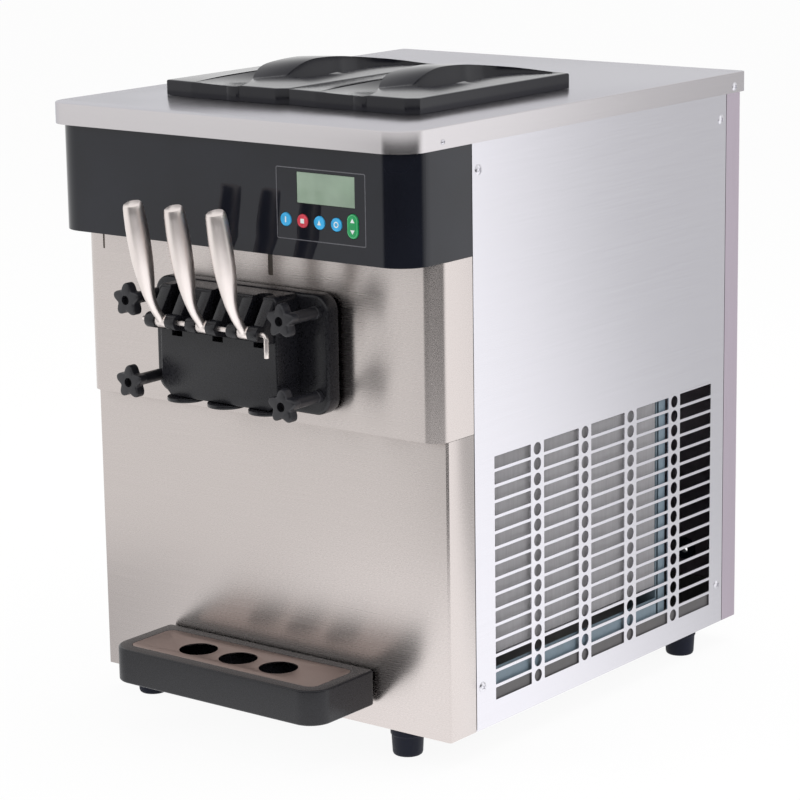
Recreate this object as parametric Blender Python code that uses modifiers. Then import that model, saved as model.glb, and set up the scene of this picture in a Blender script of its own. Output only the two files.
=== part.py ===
"""Countertop soft serve machine: two hoppers, two freezing cylinders and a head with three outlets.

Metres, +Z up, front towards -Y. Places are measured across from the centre plane (X), back from the face
of the lower front panel (Y) and up from the floor (Z). The assembly empty then centres the footprint.
"""

import math

import bmesh
import bpy
from mathutils import Matrix, Vector

# Sheet metal, fits and facets
SHEET = 0.0015
GAP = 0.0003
SEAM = 0.0012
CUT_MARGIN = 0.004
WELD = 0.000001
CORNER_STEPS = 3
SMALL_STEPS = 2
SMOOTH_ANGLE = 35

# Cabinet
BODY_WIDTH = 0.530
BODY_DEPTH = 0.618
CABINET_HEIGHT = 0.706
FRONT_WRAP = 0.050
REAR_WRAP = 0.034
PANEL_BEND = 0.003

# Top cover
COVER_OVERHANG = 0.004
COVER_RIM = 0.025
COVER_NOSE = 0.073
COVER_CORNER = 0.035

# Fascia and mid panel, with the lips that close the steps between them
FASCIA_HEIGHT = 0.126
FASCIA_NOSE = 0.064
FASCIA_CORNER = 0.038
FASCIA_WALL = 0.003
MID_HEIGHT = 0.203
MID_NOSE = 0.016
MID_CORNER = 0.020
LIP_RAISE = 0.0005
LIP_RETURN = 0.004

# Feet
FOOT_HEIGHT = 0.033
FOOT_TOP_RADIUS = 0.020
FOOT_BASE_RADIUS = 0.0175
FOOT_COLLAR = 0.008
FOOT_FRONT_LEFT_INSET = 0.053
FOOT_FRONT_RIGHT_INSET = 0.079
FOOT_FRONT_SETBACK = 0.022
FOOT_REAR_SIDE_INSET = 0.027
FOOT_REAR_SETBACK = 0.091
STUD_RADIUS = 0.004
STUD_LENGTH = 0.012
STUD_CLEAR = 0.001
FOOT_SIDES = 10

# Base pan and inner frame
PAN_WALL = 0.043
PAN_CLEAR = 0.001
POST = 0.020
RAIL = 0.015
FRAME_STEP = 0.002
DECK_SHEET = 0.003
DECK_DROP = 0.098

# Side vents: slots in rows and columns, with a column of round holes between slots
VENT_ROWS = 16
VENT_COLUMNS = 5
VENT_COLUMN_PITCH = 0.0983
VENT_ROW_PITCH = 0.01835
VENT_FRONT = 0.088
VENT_FOOT = 0.0285
SLOT_LENGTH = 0.072
SLOT_HEIGHT = 0.0147
ROUND_VENT_RADIUS = 0.0074
ROUND_VENT_SIDES = 6
PLAIN_SLOT_LENGTH = 0.210
PLAIN_SLOT_HEIGHT = 0.008
PLAIN_SLOT_ROWS = 6

# Rear vents and the gland for the mains lead
REAR_SLOT_LENGTH = 0.300
REAR_SLOT_HEIGHT = 0.010
REAR_SLOT_ROWS = 5
REAR_SLOT_PITCH = 0.026
REAR_SLOT_Z = 0.130
GLAND_RADIUS = 0.014
GLAND_COLLAR = 0.018
GLAND_BORE = 0.005
GLAND_PROUD = 0.0035
GLAND_CLEAR = 0.001
GLAND_INSET = 0.075
GLAND_Z = 0.110
GLAND_SIDES = 10

# Hopper lids
LID_WIDTH = 0.190
LID_LENGTH = 0.295
LID_EDGE = 0.018
LID_CROWN = 0.007
LID_FACET = 0.045
LID_FACET_SETBACK = 0.005
LID_CHAMFER = 0.015
LID_CORNER = 0.022
LID_WALL = 0.004
LID_HOLLOW = 0.005
LID_FRONT = 0.050
LID_SEAM = 0.004
LID_COLUMNS = 8
LID_ROWS = 10
GRIP_WIDTH = 0.034
GRIP_RISE = 0.0125
GRIP_REACH = 0.080
GRIP_LEAN = 0.030
GRIP_FADE = 0.020

# Scoop beside a lid's grip: edge at the grip, outer edge and depth at each station from its blunt end
SCOOP_STATIONS = (
    ((0.0180, -0.0620), (0.0300, -0.0700), 0.0030),
    ((0.0170, -0.0430), (0.0460, -0.0620), 0.0100),
    ((0.0165, -0.0100), (0.0530, -0.0330), 0.0115),
    ((0.0190, 0.0500), (0.0490, 0.0310), 0.0105),
    ((0.0110, 0.0760), (0.0430, 0.0620), 0.0090),
    ((-0.0030, 0.1020), (0.0395, 0.0900), 0.0065),
    ((-0.0140, 0.1250), (0.0430, 0.1140), 0.0045),
    ((-0.0260, 0.1560), (0.0600, 0.1560), 0.0020),
)
SCOOP_STEPS = (0, 0.12, 0.55, 1)
SCOOP_ROOF = 0.050

# Hoppers and feed tubes
HOPPER_WIDTH = 0.164
HOPPER_LENGTH = 0.271
HOPPER_DEPTH = 0.135
HOPPER_CORNER = 0.020
HOPPER_FLANGE = 0.006
SPIGOT_RADIUS = 0.013
SPIGOT_BORE = 0.010
SPIGOT_X = 0.075
SPIGOT_SIDES = 8
FEED_TUBE_RADIUS = 0.0088
FEED_TUBE_BORE = 0.005
FEED_TUBE_HEIGHT = 0.105
FEED_TUBE_PLUG = 0.035
FEED_COLLAR_RADIUS = 0.014
FEED_COLLAR = 0.006

# Freezing cylinders, beaters and the plate that takes the studs
CYLINDER_SPACING = 0.124
CYLINDER_RADIUS = 0.056
CYLINDER_BORE = 0.046
CYLINDER_LENGTH = 0.217
CYLINDER_END = 0.010
CYLINDER_SIDES = 12
FEED_SETBACK = 0.030
SADDLE_WIDTH = 0.070
SADDLE_LENGTH = 0.140
PLATE_THICKNESS = 0.012
SHAFT_RADIUS = 0.008
SHAFT_CLEAR = 0.001
BLADE_RADIUS = 0.0025
BLADE_ORBIT = 0.041
BLADE_TURNS = 2
BLADE_START = 10
BLADE_POINTS = 10
SPOKE_RADIUS = 0.004

# Dispensing head
HEAD_WIDTH = 0.259
HEAD_HEIGHT = 0.139
HEAD_DROP = 0.045
HEAD_CORNER = 0.020
HEAD_STANDOFF = 0.0033
HEAD_BEVEL = 0.004
FLANGE_THICKNESS = 0.0217
BLOCK_WIDTH = 0.176
BLOCK_REACH = 0.039
BLOCK_RISE = 0.007
BLOCK_STEP = 0.001
BLOCK_CHAMFER = 0.014
GASKET_BORDER = 0.0075
PORT_RADIUS = 0.006
PORT_RISE = 0.009
PORT_SIDES = 6
CENTRE_PORT_SPREAD = 0.040
CENTRE_PORT_DROP = 0.016
RECESS_DEPTH = 0.006

# Outlets, pistons and nozzles
OUTLET_SPACING = 0.0615
BORE_RADIUS = 0.0095
BORE_SETBACK = 0.013
BORE_SIDES = 12
PISTON_CLEAR = 0.0005
PISTON_TOP_DROP = 0.026
NOZZLE_RADIUS = 0.0225
NOZZLE_HEIGHT = 0.0045
NOZZLE_SIDES = 16
STAR_POINTS = 6
STAR_OUTER = 0.0085
STAR_INNER = 0.0045

# Clevis lugs, pivot pin and draw handles
PIVOT_AHEAD = 0.0225
PIVOT_DROP = 0.0385
LUG_WIDTH = 0.0145
LUG_GAP = 0.0159
LUG_NOSE = 0.009
LUG_FOOT = 0.056
LUG_ROOT = 0.010
POCKET_FLOOR = 0.060
PIN_RADIUS = 0.003
PIN_RUNNING = 0.0003
PIN_OVERHANG = 0.008
PIN_TAIL = 0.026
PIN_BEND = 0.006
HUB_RADIUS = 0.0075
HUB_CLEAR = 0.0006
FINGER_RADIUS = 0.0040
FINGER_INSET = 0.003
FINGER_DROP_ANGLE = 20
NOTCH_CLEAR = 0.0065
NOTCH_BACK = 0.004

# Handle centre line from the pivot: forward, up, and the radius there
HANDLE_LINE = (
    (0.0000, 0.0000, 0.0055),
    (0.0150, 0.0180, 0.0055),
    (0.0197, 0.0270, 0.0061),
    (0.0235, 0.0370, 0.0074),
    (0.0270, 0.0530, 0.0099),
    (0.0318, 0.0760, 0.0123),
    (0.0377, 0.1050, 0.0130),
    (0.0438, 0.1360, 0.0116),
    (0.0449, 0.1415, 0.0092),
)

# Hand screws that hold the head
SCREW_INSET_X = 0.0145
SCREW_INSET_TOP = 0.0195
SCREW_INSET_BOTTOM = 0.0228
KNOB_RADIUS = 0.0200
KNOB_WAVE = 0.0034
KNOB_LOBES = 5
KNOB_THICKNESS = 0.014
KNOB_POINTS = 4
KNOB_SOCKET = 0.0055
KNOB_SOCKET_DEPTH = 0.008
STEM_RADIUS = 0.0075
STEM_LENGTH = 0.053
STEM_SIDES = 8
SHANK_RADIUS = 0.005
SHANK_CLEAR = 0.0004
SHANK_ENGAGEMENT = 0.008

# Display window, keys and control board, on the right half of the fascia
LCD_WIDTH = 0.0815
LCD_HEIGHT = 0.0345
LCD_INSET = 0.1157
LCD_RISE = 0.0792
LCD_REBATE = 0.002
KEY_RADIUS = 0.0077
KEY_FIRST_INSET = 0.1726
KEY_PITCH = 0.0240
KEY_RISE = 0.0420
KEY_PROUD = 0.0012
KEY_CLEAR = 0.0005
KEY_FLANGE = 0.0012
KEY_FLANGE_THICKNESS = 0.002
KEY_SIDES = 8
KEY_COUNT = 4
ROCKER_INSET = 0.0776
ROCKER_WIDTH = 0.0155
ROCKER_HEIGHT = 0.0275
ROCKER_STEM = 0.003
ROCKER_CLEAR = 0.0006
BOARD_SETBACK = 0.0070
BOARD_SHEET = 0.0016
BOARD_MARGIN = 0.006
BOARD_POST = 0.003

# Drip tray, cup plate and bracket
TRAY_WIDTH = 0.316
TRAY_DEPTH = 0.1095
TRAY_HEIGHT = 0.042
TRAY_TOP = 0.102
TRAY_BACK = 0.0025
TRAY_FLOOR = 0.004
TRAY_CORNER = 0.028
TRAY_RECESS = 0.004
CUP_PLATE_SHEET = 0.002
CUP_PLATE_BORDER = 0.0165
CUP_PLATE_CORNER = 0.012
CUP_PLATE_LEDGE = 0.004
CUP_HOLE_RADIUS = 0.023
CUP_HOLE_SETBACK = 0.052
CUP_HOLE_SIDES = 14
BRACKET_WIDTH = 0.200
BRACKET_REACH = 0.092
BRACKET_RISE = 0.034

# Condenser, fan and compressor
CONDENSER_FRONT = 0.085
CONDENSER_LENGTH = 0.330
CONDENSER_FOOT = 0.082
CONDENSER_HEIGHT = 0.250
CONDENSER_THICKNESS = 0.040
CONDENSER_INSET = 0.006
CONDENSER_SPINE = 0.010
FIN_COUNT = 14
FIN_THICKNESS = 0.004
FRAME_SHEET = 0.003
FRAME_FLANGE = 0.027
FRAME_LEG = 0.020
RAIL_FOOT = 0.047
RAIL_HEIGHT = 0.014
SHROUD_SHEET = 0.006
FAN_RADIUS = 0.100
FAN_CLEAR = 0.010
FAN_HUB_RADIUS = 0.022
FAN_HUB_LENGTH = 0.030
FAN_SETBACK = 0.010
FAN_BLADES = 4
BLADE_SHEET = 0.002
BLADE_CHORD = 0.055
BLADE_PITCH = 27
FAN_STUB_RADIUS = 0.005
FAN_STUB = 0.010
FAN_MOTOR_RADIUS = 0.035
FAN_MOTOR_LENGTH = 0.050
BRIDGE_WIDTH = 0.024
BRIDGE_SHEET = 0.008
COMPRESSOR_RADIUS = 0.080
COMPRESSOR_HEIGHT = 0.205
COMPRESSOR_INSET = 0.125
COMPRESSOR_SETBACK = 0.185
COMPRESSOR_BASE = 0.020
COMPRESSOR_DOME = 0.040
MOUNT_PLATE = 0.004
MOUNT_SPREAD = 0.150
MOUNT_RADIUS = 0.012
MOUNT_BORDER = 0.003
ROUND_SIDES = 10

# Drive: motor, belt and gearbox
GEARBOX_WIDTH = 0.210
GEARBOX_HEIGHT = 0.140
GEARBOX_LENGTH = 0.078
GEARBOX_SETBACK = 0.007
GEARBOX_BEVEL = 0.008
PEDESTAL_WIDTH = 0.120
SOCKET_DEPTH = 0.012
MOTOR_RADIUS = 0.062
MOTOR_LENGTH = 0.185
MOTOR_DROP = 0.274
MOTOR_FOOT_WIDTH = 0.080
MOTOR_FOOT_INSET = 0.030
PULLEY_WIDTH = 0.022
PULLEY_CHEEK = 0.005
PULLEY_BACKSET = 0.005
MOTOR_PULLEY_RADIUS = 0.030
GEARBOX_PULLEY_RADIUS = 0.060
PULLEY_SIDES = 12
BELT_THICKNESS = 0.005
BELT_SIDE_GAP = 0.002
BELT_WINDOW = 0.020
BELT_STEPS = 8

# Levels and planes that follow
HALF = BODY_WIDTH / 2
TOP_Z = FOOT_HEIGHT + CABINET_HEIGHT
PANEL_TOP = TOP_Z - SHEET - GAP
FASCIA_Z = TOP_Z - COVER_RIM - FASCIA_HEIGHT
MID_Z = FASCIA_Z - MID_HEIGHT
PAN_FLOOR = FOOT_HEIGHT + SHEET
PAN_SIDE = HALF - SHEET - PAN_CLEAR
PAN_FRONT = SHEET + PAN_CLEAR
PAN_REAR = BODY_DEPTH - SHEET - PAN_CLEAR
MID_LIP_END = MID_CORNER - MID_NOSE + SHEET
FRAME_FRONT = max(MID_LIP_END, PAN_FRONT + SHEET) + GAP
HEAD_TOP = FASCIA_Z - HEAD_DROP
HEAD_BOTTOM = HEAD_TOP - HEAD_HEIGHT
HEAD_MIDDLE = (HEAD_TOP + HEAD_BOTTOM) / 2
FLANGE_BACK = -MID_NOSE - HEAD_STANDOFF
FLANGE_FRONT = FLANGE_BACK - FLANGE_THICKNESS
BLOCK_FRONT = FLANGE_FRONT - BLOCK_REACH
BLOCK_BOTTOM = HEAD_BOTTOM + BLOCK_RISE
BORE_Y = BLOCK_FRONT + BORE_SETBACK
PIVOT_Y = BLOCK_FRONT - PIVOT_AHEAD
PIVOT_Z = HEAD_TOP - PIVOT_DROP
PLATE_FRONT = -MID_NOSE + SHEET + GAP
PLATE_BACK = PLATE_FRONT + PLATE_THICKNESS
CYLINDER_FRONT = PLATE_BACK + GAP
CYLINDER_BACK = CYLINDER_FRONT + CYLINDER_LENGTH
GEARBOX_FRONT = CYLINDER_BACK + GEARBOX_SETBACK
GEARBOX_BACK = GEARBOX_FRONT + GEARBOX_LENGTH
DECK_TOP = HEAD_MIDDLE - DECK_DROP
FASCIA_FRONT = -FASCIA_NOSE
FASCIA_BACK = FASCIA_FRONT + FASCIA_WALL
BOARD_FRONT = FASCIA_BACK + BOARD_SETBACK
LCD_X = HALF - LCD_INSET
KEY_FIRST_X = HALF - KEY_FIRST_INSET
ROCKER_X = HALF - ROCKER_INSET
GLAND_X = HALF - GLAND_INSET
COMPRESSOR_X = COMPRESSOR_INSET - HALF
LID_X = (LID_SEAM + LID_WIDTH) / 2
LID_Y = LID_FRONT + LID_LENGTH / 2
HOPPER_FLOOR = TOP_Z - HOPPER_DEPTH
SPIGOT_Y = CYLINDER_BACK - FEED_SETBACK
TRAY_BOTTOM = TRAY_TOP - TRAY_HEIGHT
TRAY_REAR = -TRAY_BACK
CONDENSER_OUT = HALF - SHEET - CONDENSER_INSET
CONDENSER_IN = CONDENSER_OUT - CONDENSER_THICKNESS
CONDENSER_Z = FOOT_HEIGHT + CONDENSER_FOOT
FAN_Y = CONDENSER_FRONT + CONDENSER_LENGTH / 2
FAN_Z = CONDENSER_Z + CONDENSER_HEIGHT / 2
SHROUD_IN = CONDENSER_IN - GAP - SHROUD_SHEET
FAN_FACE = SHROUD_IN - FAN_SETBACK
FAN_BACK = FAN_FACE - FAN_HUB_LENGTH
FAN_MOTOR_FACE = FAN_BACK - GAP
MOTOR_Z = HEAD_MIDDLE - MOTOR_DROP
PULLEY_FRONT = GEARBOX_BACK + PULLEY_BACKSET
PULLEY_BACK = PULLEY_FRONT + PULLEY_WIDTH
SIDES = {"left": -1, "right": 1}
OUTLETS = {"left": -OUTLET_SPACING, "centre": 0.0, "right": OUTLET_SPACING}

# An outline's (u, v) and its thickness direction, set into each plane
PLANES = {
    "X": Matrix(((0, 0, 1, 0), (1, 0, 0, 0), (0, 1, 0, 0), (0, 0, 0, 1))),
    "Y": Matrix(((1, 0, 0, 0), (0, 0, -1, 0), (0, 1, 0, 0), (0, 0, 0, 1))),
    "Z": Matrix.Identity(4),
}
TURNING = {
    "X": Matrix.Rotation(math.pi / 2, 4, "Y"),
    "Y": Matrix.Rotation(-math.pi / 2, 4, "X"),
    "Z": Matrix.Identity(4),
}


def empty_scene():
    for obj in list(bpy.data.objects):
        bpy.data.objects.remove(obj, do_unlink=True)


empty_scene()
PARTS = bpy.data.collections.new("soft_serve_machine")
HELPERS = bpy.data.collections.new("cutters")
bpy.context.scene.collection.children.link(PARTS)
bpy.context.scene.collection.children.link(HELPERS)
ASSEMBLY = bpy.data.objects.new("assembly", None)
PARTS.objects.link(ASSEMBLY)


def finish(name, colour, roughness, metallic):
    material = bpy.data.materials.new(name)
    material.use_nodes = True
    shader = material.node_tree.nodes["Principled BSDF"]
    shader.inputs["Base Color"].default_value = (*colour, 1.0)
    shader.inputs["Roughness"].default_value = roughness
    shader.inputs["Metallic"].default_value = metallic
    return material


BRUSHED_STEEL = finish("brushed_steel", (0.62, 0.60, 0.60), 0.35, 1.0)
SATIN_STEEL = finish("satin_steel", (0.75, 0.72, 0.70), 0.30, 1.0)
ZINC_STEEL = finish("zinc_steel", (0.45, 0.46, 0.48), 0.45, 1.0)
ALUMINIUM = finish("aluminium", (0.55, 0.56, 0.57), 0.40, 1.0)
CAST_PAINT = finish("cast_paint", (0.10, 0.12, 0.15), 0.50, 0.0)
GLOSS_BLACK = finish("gloss_black", (0.02, 0.02, 0.03), 0.10, 0.0)
MATTE_BLACK = finish("matte_black", (0.03, 0.03, 0.04), 0.45, 0.0)
RUBBER = finish("rubber", (0.03, 0.03, 0.05), 0.70, 0.0)
WHITE_PLASTIC = finish("white_plastic", (0.80, 0.80, 0.78), 0.40, 0.0)
DISPLAY_GREEN = finish("display_green", (0.28, 0.37, 0.30), 0.15, 0.0)
KEY_BLUE = finish("key_blue", (0.04, 0.35, 0.80), 0.30, 0.0)
KEY_RED = finish("key_red", (0.60, 0.06, 0.09), 0.30, 0.0)
KEY_GREEN = finish("key_green", (0.02, 0.30, 0.10), 0.30, 0.0)
BOARD_GREEN = finish("board_green", (0.03, 0.20, 0.08), 0.50, 0.0)


def helper(name, mesh):
    """An object in the workshop collection, hidden from renders until it becomes a piece."""
    obj = bpy.data.objects.new(name, mesh)
    HELPERS.objects.link(obj)
    obj.hide_render = True
    obj.display_type = "WIRE"
    return obj


def mesh_from(name, form):
    mesh = bpy.data.meshes.new(name)
    form.to_mesh(mesh)
    form.free()
    return helper(name, mesh)


def box(name, low, high):
    form = bmesh.new()
    bmesh.ops.create_cube(form, size=1)
    size = [abs(b - a) for a, b in zip(low, high)]
    middle = [(a + b) / 2 for a, b in zip(low, high)]
    bmesh.ops.scale(form, vec=size, verts=form.verts)
    bmesh.ops.translate(form, vec=middle, verts=form.verts)
    return mesh_from(name, form)


def rod(name, radius, start, end, sides=ROUND_SIDES):
    """A cylinder between two points."""
    start, end = Vector(start), Vector(end)
    along = end - start
    turn = along.to_track_quat("Z", "Y").to_matrix().to_4x4()
    form = bmesh.new()
    bmesh.ops.create_cone(
        form, cap_ends=True, segments=sides, radius1=radius, radius2=radius, depth=along.length,
        matrix=Matrix.Translation((start + end) / 2) @ turn)
    return mesh_from(name, form)


def settled(obj):
    """The object with its modifiers worked into its mesh, and the shapes that they used removed."""
    mesh = bpy.data.meshes.new_from_object(obj.evaluated_get(bpy.context.evaluated_depsgraph_get()))
    used = [m.object for m in obj.modifiers if m.type == "BOOLEAN"]
    obj.modifiers.clear()
    obj.data = mesh
    for other in used:
        bpy.data.objects.remove(other)
    return obj


def from_curve(name, curve, placing):
    """A mesh helper from a curve, its caps welded to its sides."""
    source = helper(name, curve)
    mesh = bpy.data.meshes.new_from_object(source.evaluated_get(bpy.context.evaluated_depsgraph_get()))
    bpy.data.objects.remove(source)
    form = bmesh.new()
    form.from_mesh(mesh)
    bmesh.ops.remove_doubles(form, verts=form.verts, dist=WELD)
    bmesh.ops.transform(form, matrix=placing, verts=form.verts)
    bpy.data.meshes.remove(mesh)
    return mesh_from(name, form)


def extruded(name, loops, low, high, normal="Z"):
    """Flat outlines given thickness: (x, y) along Z, (y, z) along X or (x, z) along Y."""
    curve = bpy.data.curves.new(name, "CURVE")
    curve.dimensions = "2D"
    curve.fill_mode = "BOTH"
    curve.extrude = (high - low) / 2
    for loop in loops:
        spline = curve.splines.new("POLY")
        spline.points.add(len(loop) - 1)
        for point, (u, v) in zip(spline.points, loop):
            point.co = (u, v, 0, 1)
        spline.use_cyclic_u = True
    middle = (low + high) / 2
    if normal == "Y":
        middle = -middle
    return from_curve(name, curve, PLANES[normal] @ Matrix.Translation((0, 0, middle)))


def tube(name, points, radius, radii=None, resolution=2):
    """A round tube along points, with a radius factor at each where it swells or tapers."""
    curve = bpy.data.curves.new(name, "CURVE")
    curve.dimensions = "3D"
    curve.bevel_depth = radius
    curve.bevel_resolution = resolution
    curve.use_fill_caps = True
    spline = curve.splines.new("POLY")
    spline.points.add(len(points) - 1)
    for i, (point, place) in enumerate(zip(spline.points, points)):
        point.co = (*place, 1)
        point.radius = radii[i] if radii else 1.0
    return from_curve(name, curve, Matrix.Identity(4))


def turned(name, profile, sides, axis="Z", centre=(0, 0, 0), ring=False):
    """A profile of (radius, height) points turned about an axis, listed from the top down the outside."""
    mesh = bpy.data.meshes.new(name)
    edges = [(i, i + 1) for i in range(len(profile) - 1)]
    if ring:
        edges.append((len(profile) - 1, 0))
    mesh.from_pydata([(r, 0, z) for r, z in profile], edges, [])
    obj = helper(name, mesh)
    screw = obj.modifiers.new("turn", "SCREW")
    screw.steps = sides
    screw.render_steps = sides
    screw.use_merge_vertices = True
    screw.merge_threshold = WELD
    settled(obj)
    obj.data.transform(Matrix.Translation(centre) @ TURNING[axis])
    return obj


def combine(target, operation, others):
    for other in others:
        other.parent = target
        modifier = target.modifiers.new(other.name, "BOOLEAN")
        modifier.operation = operation
        modifier.object = other
    return target


def cut(target, *others):
    return combine(target, "DIFFERENCE", others)


def join(target, *others):
    return combine(target, "UNION", others)


def repeated(name, shape, counts, pitches):
    """The shape in a row along each axis that has a count."""
    for axis, (count, pitch) in enumerate(zip(counts, pitches)):
        if count > 1:
            array = shape.modifiers.new(f"{name}_{axis}", "ARRAY")
            array.use_relative_offset = False
            array.use_constant_offset = True
            offset = [0.0, 0.0, 0.0]
            offset[axis] = pitch
            array.constant_offset_displace = offset
            array.count = count
    return shape


def piece(obj, name, material, location=(0, 0, 0)):
    """The object as a finished piece of the assembly."""
    HELPERS.objects.unlink(obj)
    PARTS.objects.link(obj)
    obj.name = name
    obj.hide_render = False
    obj.display_type = "TEXTURED"
    obj.parent = ASSEMBLY
    obj.location = location
    obj.data.materials.clear()
    obj.data.materials.append(material)
    obj.data.shade_smooth()
    obj.data.set_sharp_from_angle(angle=math.radians(SMOOTH_ANGLE))
    return obj


def copies(obj, material, places):
    """One piece for each name and place, all with the same mesh."""
    mesh = settled(obj).data
    bpy.data.objects.remove(obj)
    return [piece(helper(name, mesh), name, material, place) for name, place in places.items()]


def arc(centre, radius, start, end, steps=CORNER_STEPS):
    """Points on an arc, with its angles in degrees."""
    angles = [math.radians(start + (end - start) * i / steps) for i in range(steps + 1)]
    return [(centre[0] + radius * math.cos(a), centre[1] + radius * math.sin(a)) for a in angles]


def circle(centre, radius, sides):
    return arc(centre, radius, 0, 360 * (sides - 1) / sides, sides - 1)


def rounded_rectangle(low, high, radii, steps=CORNER_STEPS):
    """Corner radii run from the low corner anticlockwise; a radius of 0 keeps the corner sharp."""
    (u0, v0), (u1, v1) = low, high
    corners = ((u0, v0, 1, 1), (u1, v0, -1, 1), (u1, v1, -1, -1), (u0, v1, 1, -1))
    points = []
    for quarter, ((u, v, du, dv), radius) in enumerate(zip(corners, radii)):
        if radius > 0:
            start = 180 + 90 * quarter
            points += arc((u + du * radius, v + dv * radius), radius, start, start + 90, steps)
        else:
            points.append((u, v))
    return points


def mirrored(low, high, side):
    """A box's corners moved to the given side of the centre plane."""
    xs = sorted((side * low[0], side * high[0]))
    return (xs[0], *low[1:]), (xs[1], *high[1:])


def feet():
    foot_top = FOOT_HEIGHT - GAP
    foot = turned("foot", [
        (0, FOOT_HEIGHT + STUD_LENGTH),
        (STUD_RADIUS, FOOT_HEIGHT + STUD_LENGTH),
        (STUD_RADIUS, foot_top),
        (FOOT_TOP_RADIUS, foot_top),
        (FOOT_TOP_RADIUS, foot_top - FOOT_COLLAR),
        (FOOT_BASE_RADIUS, 0),
        (0, 0),
    ], FOOT_SIDES)
    copies(foot, RUBBER, foot_places())


def foot_places():
    side = HALF - FOOT_REAR_SIDE_INSET
    rear = BODY_DEPTH - FOOT_REAR_SETBACK
    return {
        "foot_front_left": (FOOT_FRONT_LEFT_INSET - HALF, FOOT_FRONT_SETBACK, 0),
        "foot_front_right": (HALF - FOOT_FRONT_RIGHT_INSET, FOOT_FRONT_SETBACK, 0),
        "foot_rear_left": (-side, rear, 0),
        "foot_rear_right": (side, rear, 0),
    }


def base_pan():
    pan = box("pan", (-PAN_SIDE, PAN_FRONT, FOOT_HEIGHT), (PAN_SIDE, PAN_REAR, FOOT_HEIGHT + PAN_WALL))
    inside = PAN_SIDE - SHEET
    cut(pan, box("pan_inside", (-inside, PAN_FRONT + SHEET, PAN_FLOOR),
                 (inside, PAN_REAR - SHEET, FOOT_HEIGHT + PAN_WALL + CUT_MARGIN)))
    for name, (x, y, _) in foot_places().items():
        hole = rod(name + "_hole", STUD_RADIUS + STUD_CLEAR, (x, y, FOOT_HEIGHT - CUT_MARGIN),
                   (x, y, PAN_FLOOR + CUT_MARGIN), STEM_SIDES)
        cut(pan, hole)
    piece(pan, "base_pan", ZINC_STEEL)


def inner_frame():
    """Corner posts, top rails and a deck, welded into one."""
    out = PAN_SIDE - SHEET - GAP
    back = PAN_REAR - SHEET - GAP
    foot = PAN_FLOOR + GAP
    side = out - FRAME_STEP
    near, far = FRAME_FRONT + FRAME_STEP, back - FRAME_STEP
    rail_top = PANEL_TOP - FRAME_STEP
    deck = box("deck", (-side, near, DECK_TOP - DECK_SHEET), (side, far, DECK_TOP))
    window = GEARBOX_PULLEY_RADIUS + BELT_WINDOW
    cut(deck, box("belt_window", (-window, GEARBOX_BACK, DECK_TOP - DECK_SHEET - CUT_MARGIN),
                  (window, PULLEY_BACK + BELT_WINDOW, DECK_TOP + CUT_MARGIN)))
    for hand, sign in SIDES.items():
        for row, y in {"front": FRAME_FRONT, "rear": back - POST}.items():
            low, high = mirrored((out - POST, y, foot), (out, y + POST, PANEL_TOP), sign)
            join(deck, box(f"post_{row}_{hand}", low, high))
    for hand, sign in SIDES.items():
        low, high = mirrored((side - RAIL, near, rail_top - RAIL), (side, far, rail_top), sign)
        join(deck, box(f"rail_{hand}", low, high))
    for row, y in {"front": near, "rear": far - RAIL}.items():
        join(deck, box(f"rail_{row}", (-side, y, rail_top - RAIL), (side, y + RAIL, rail_top)))
    piece(deck, "inner_frame", ZINC_STEEL)


def front_wrap(name, material, nose, corner, wall, low, high, lip_to=None):
    """A front sheet that turns back along both sides to the seam, and may have a lip along its foot."""
    outline = rounded_rectangle((-HALF, -nose), (HALF, FRONT_WRAP - SEAM / 2), (corner, corner, 0, 0))
    sheet = extruded(name, [outline], low, high)
    bend = max(corner - wall, 0)
    inside = rounded_rectangle((-HALF + wall, -nose + wall), (HALF - wall, FRONT_WRAP + CUT_MARGIN),
                               (bend, bend, 0, 0))
    cut(sheet, extruded(name + "_inside", [inside], low - CUT_MARGIN, high + CUT_MARGIN))
    if lip_to is not None:
        half = HALF - wall / 2
        bend = corner - wall / 2
        lip = rounded_rectangle((-half, -nose + wall / 2), (half, lip_to), (bend, bend, 0, 0))
        join(sheet, extruded(name + "_lip", [lip], low + LIP_RAISE, low + LIP_RAISE + wall))
    return piece(sheet, name, material)


def lower_front_panel():
    front_wrap("lower_front_panel", BRUSHED_STEEL, 0, PANEL_BEND, SHEET, FOOT_HEIGHT, MID_Z - GAP)


def gasket_outline(grow):
    half = HEAD_WIDTH / 2 - GASKET_BORDER + grow
    low = HEAD_BOTTOM + GASKET_BORDER - grow
    high = HEAD_TOP - GASKET_BORDER + grow
    corner = HEAD_CORNER - GASKET_BORDER + grow
    return rounded_rectangle((-half, low), (half, high), [corner] * 4, SMALL_STEPS)


def mid_front_panel():
    panel = front_wrap("mid_front_panel", BRUSHED_STEEL, MID_NOSE, MID_CORNER, SHEET, MID_Z, FASCIA_Z - GAP,
                       MID_LIP_END)
    near, far = -MID_NOSE - CUT_MARGIN, -MID_NOSE + CUT_MARGIN
    cut(panel, extruded("head_opening", [gasket_outline(GAP)], near, far, "Y"))


def key_x(index):
    return KEY_FIRST_X + KEY_PITCH * index


def pill(width, height, centre):
    u, v = centre
    radius = width / 2
    low = (u - radius, v - height / 2)
    high = (u + radius, v + height / 2)
    return rounded_rectangle(low, high, [radius] * 4, SMALL_STEPS)


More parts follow.
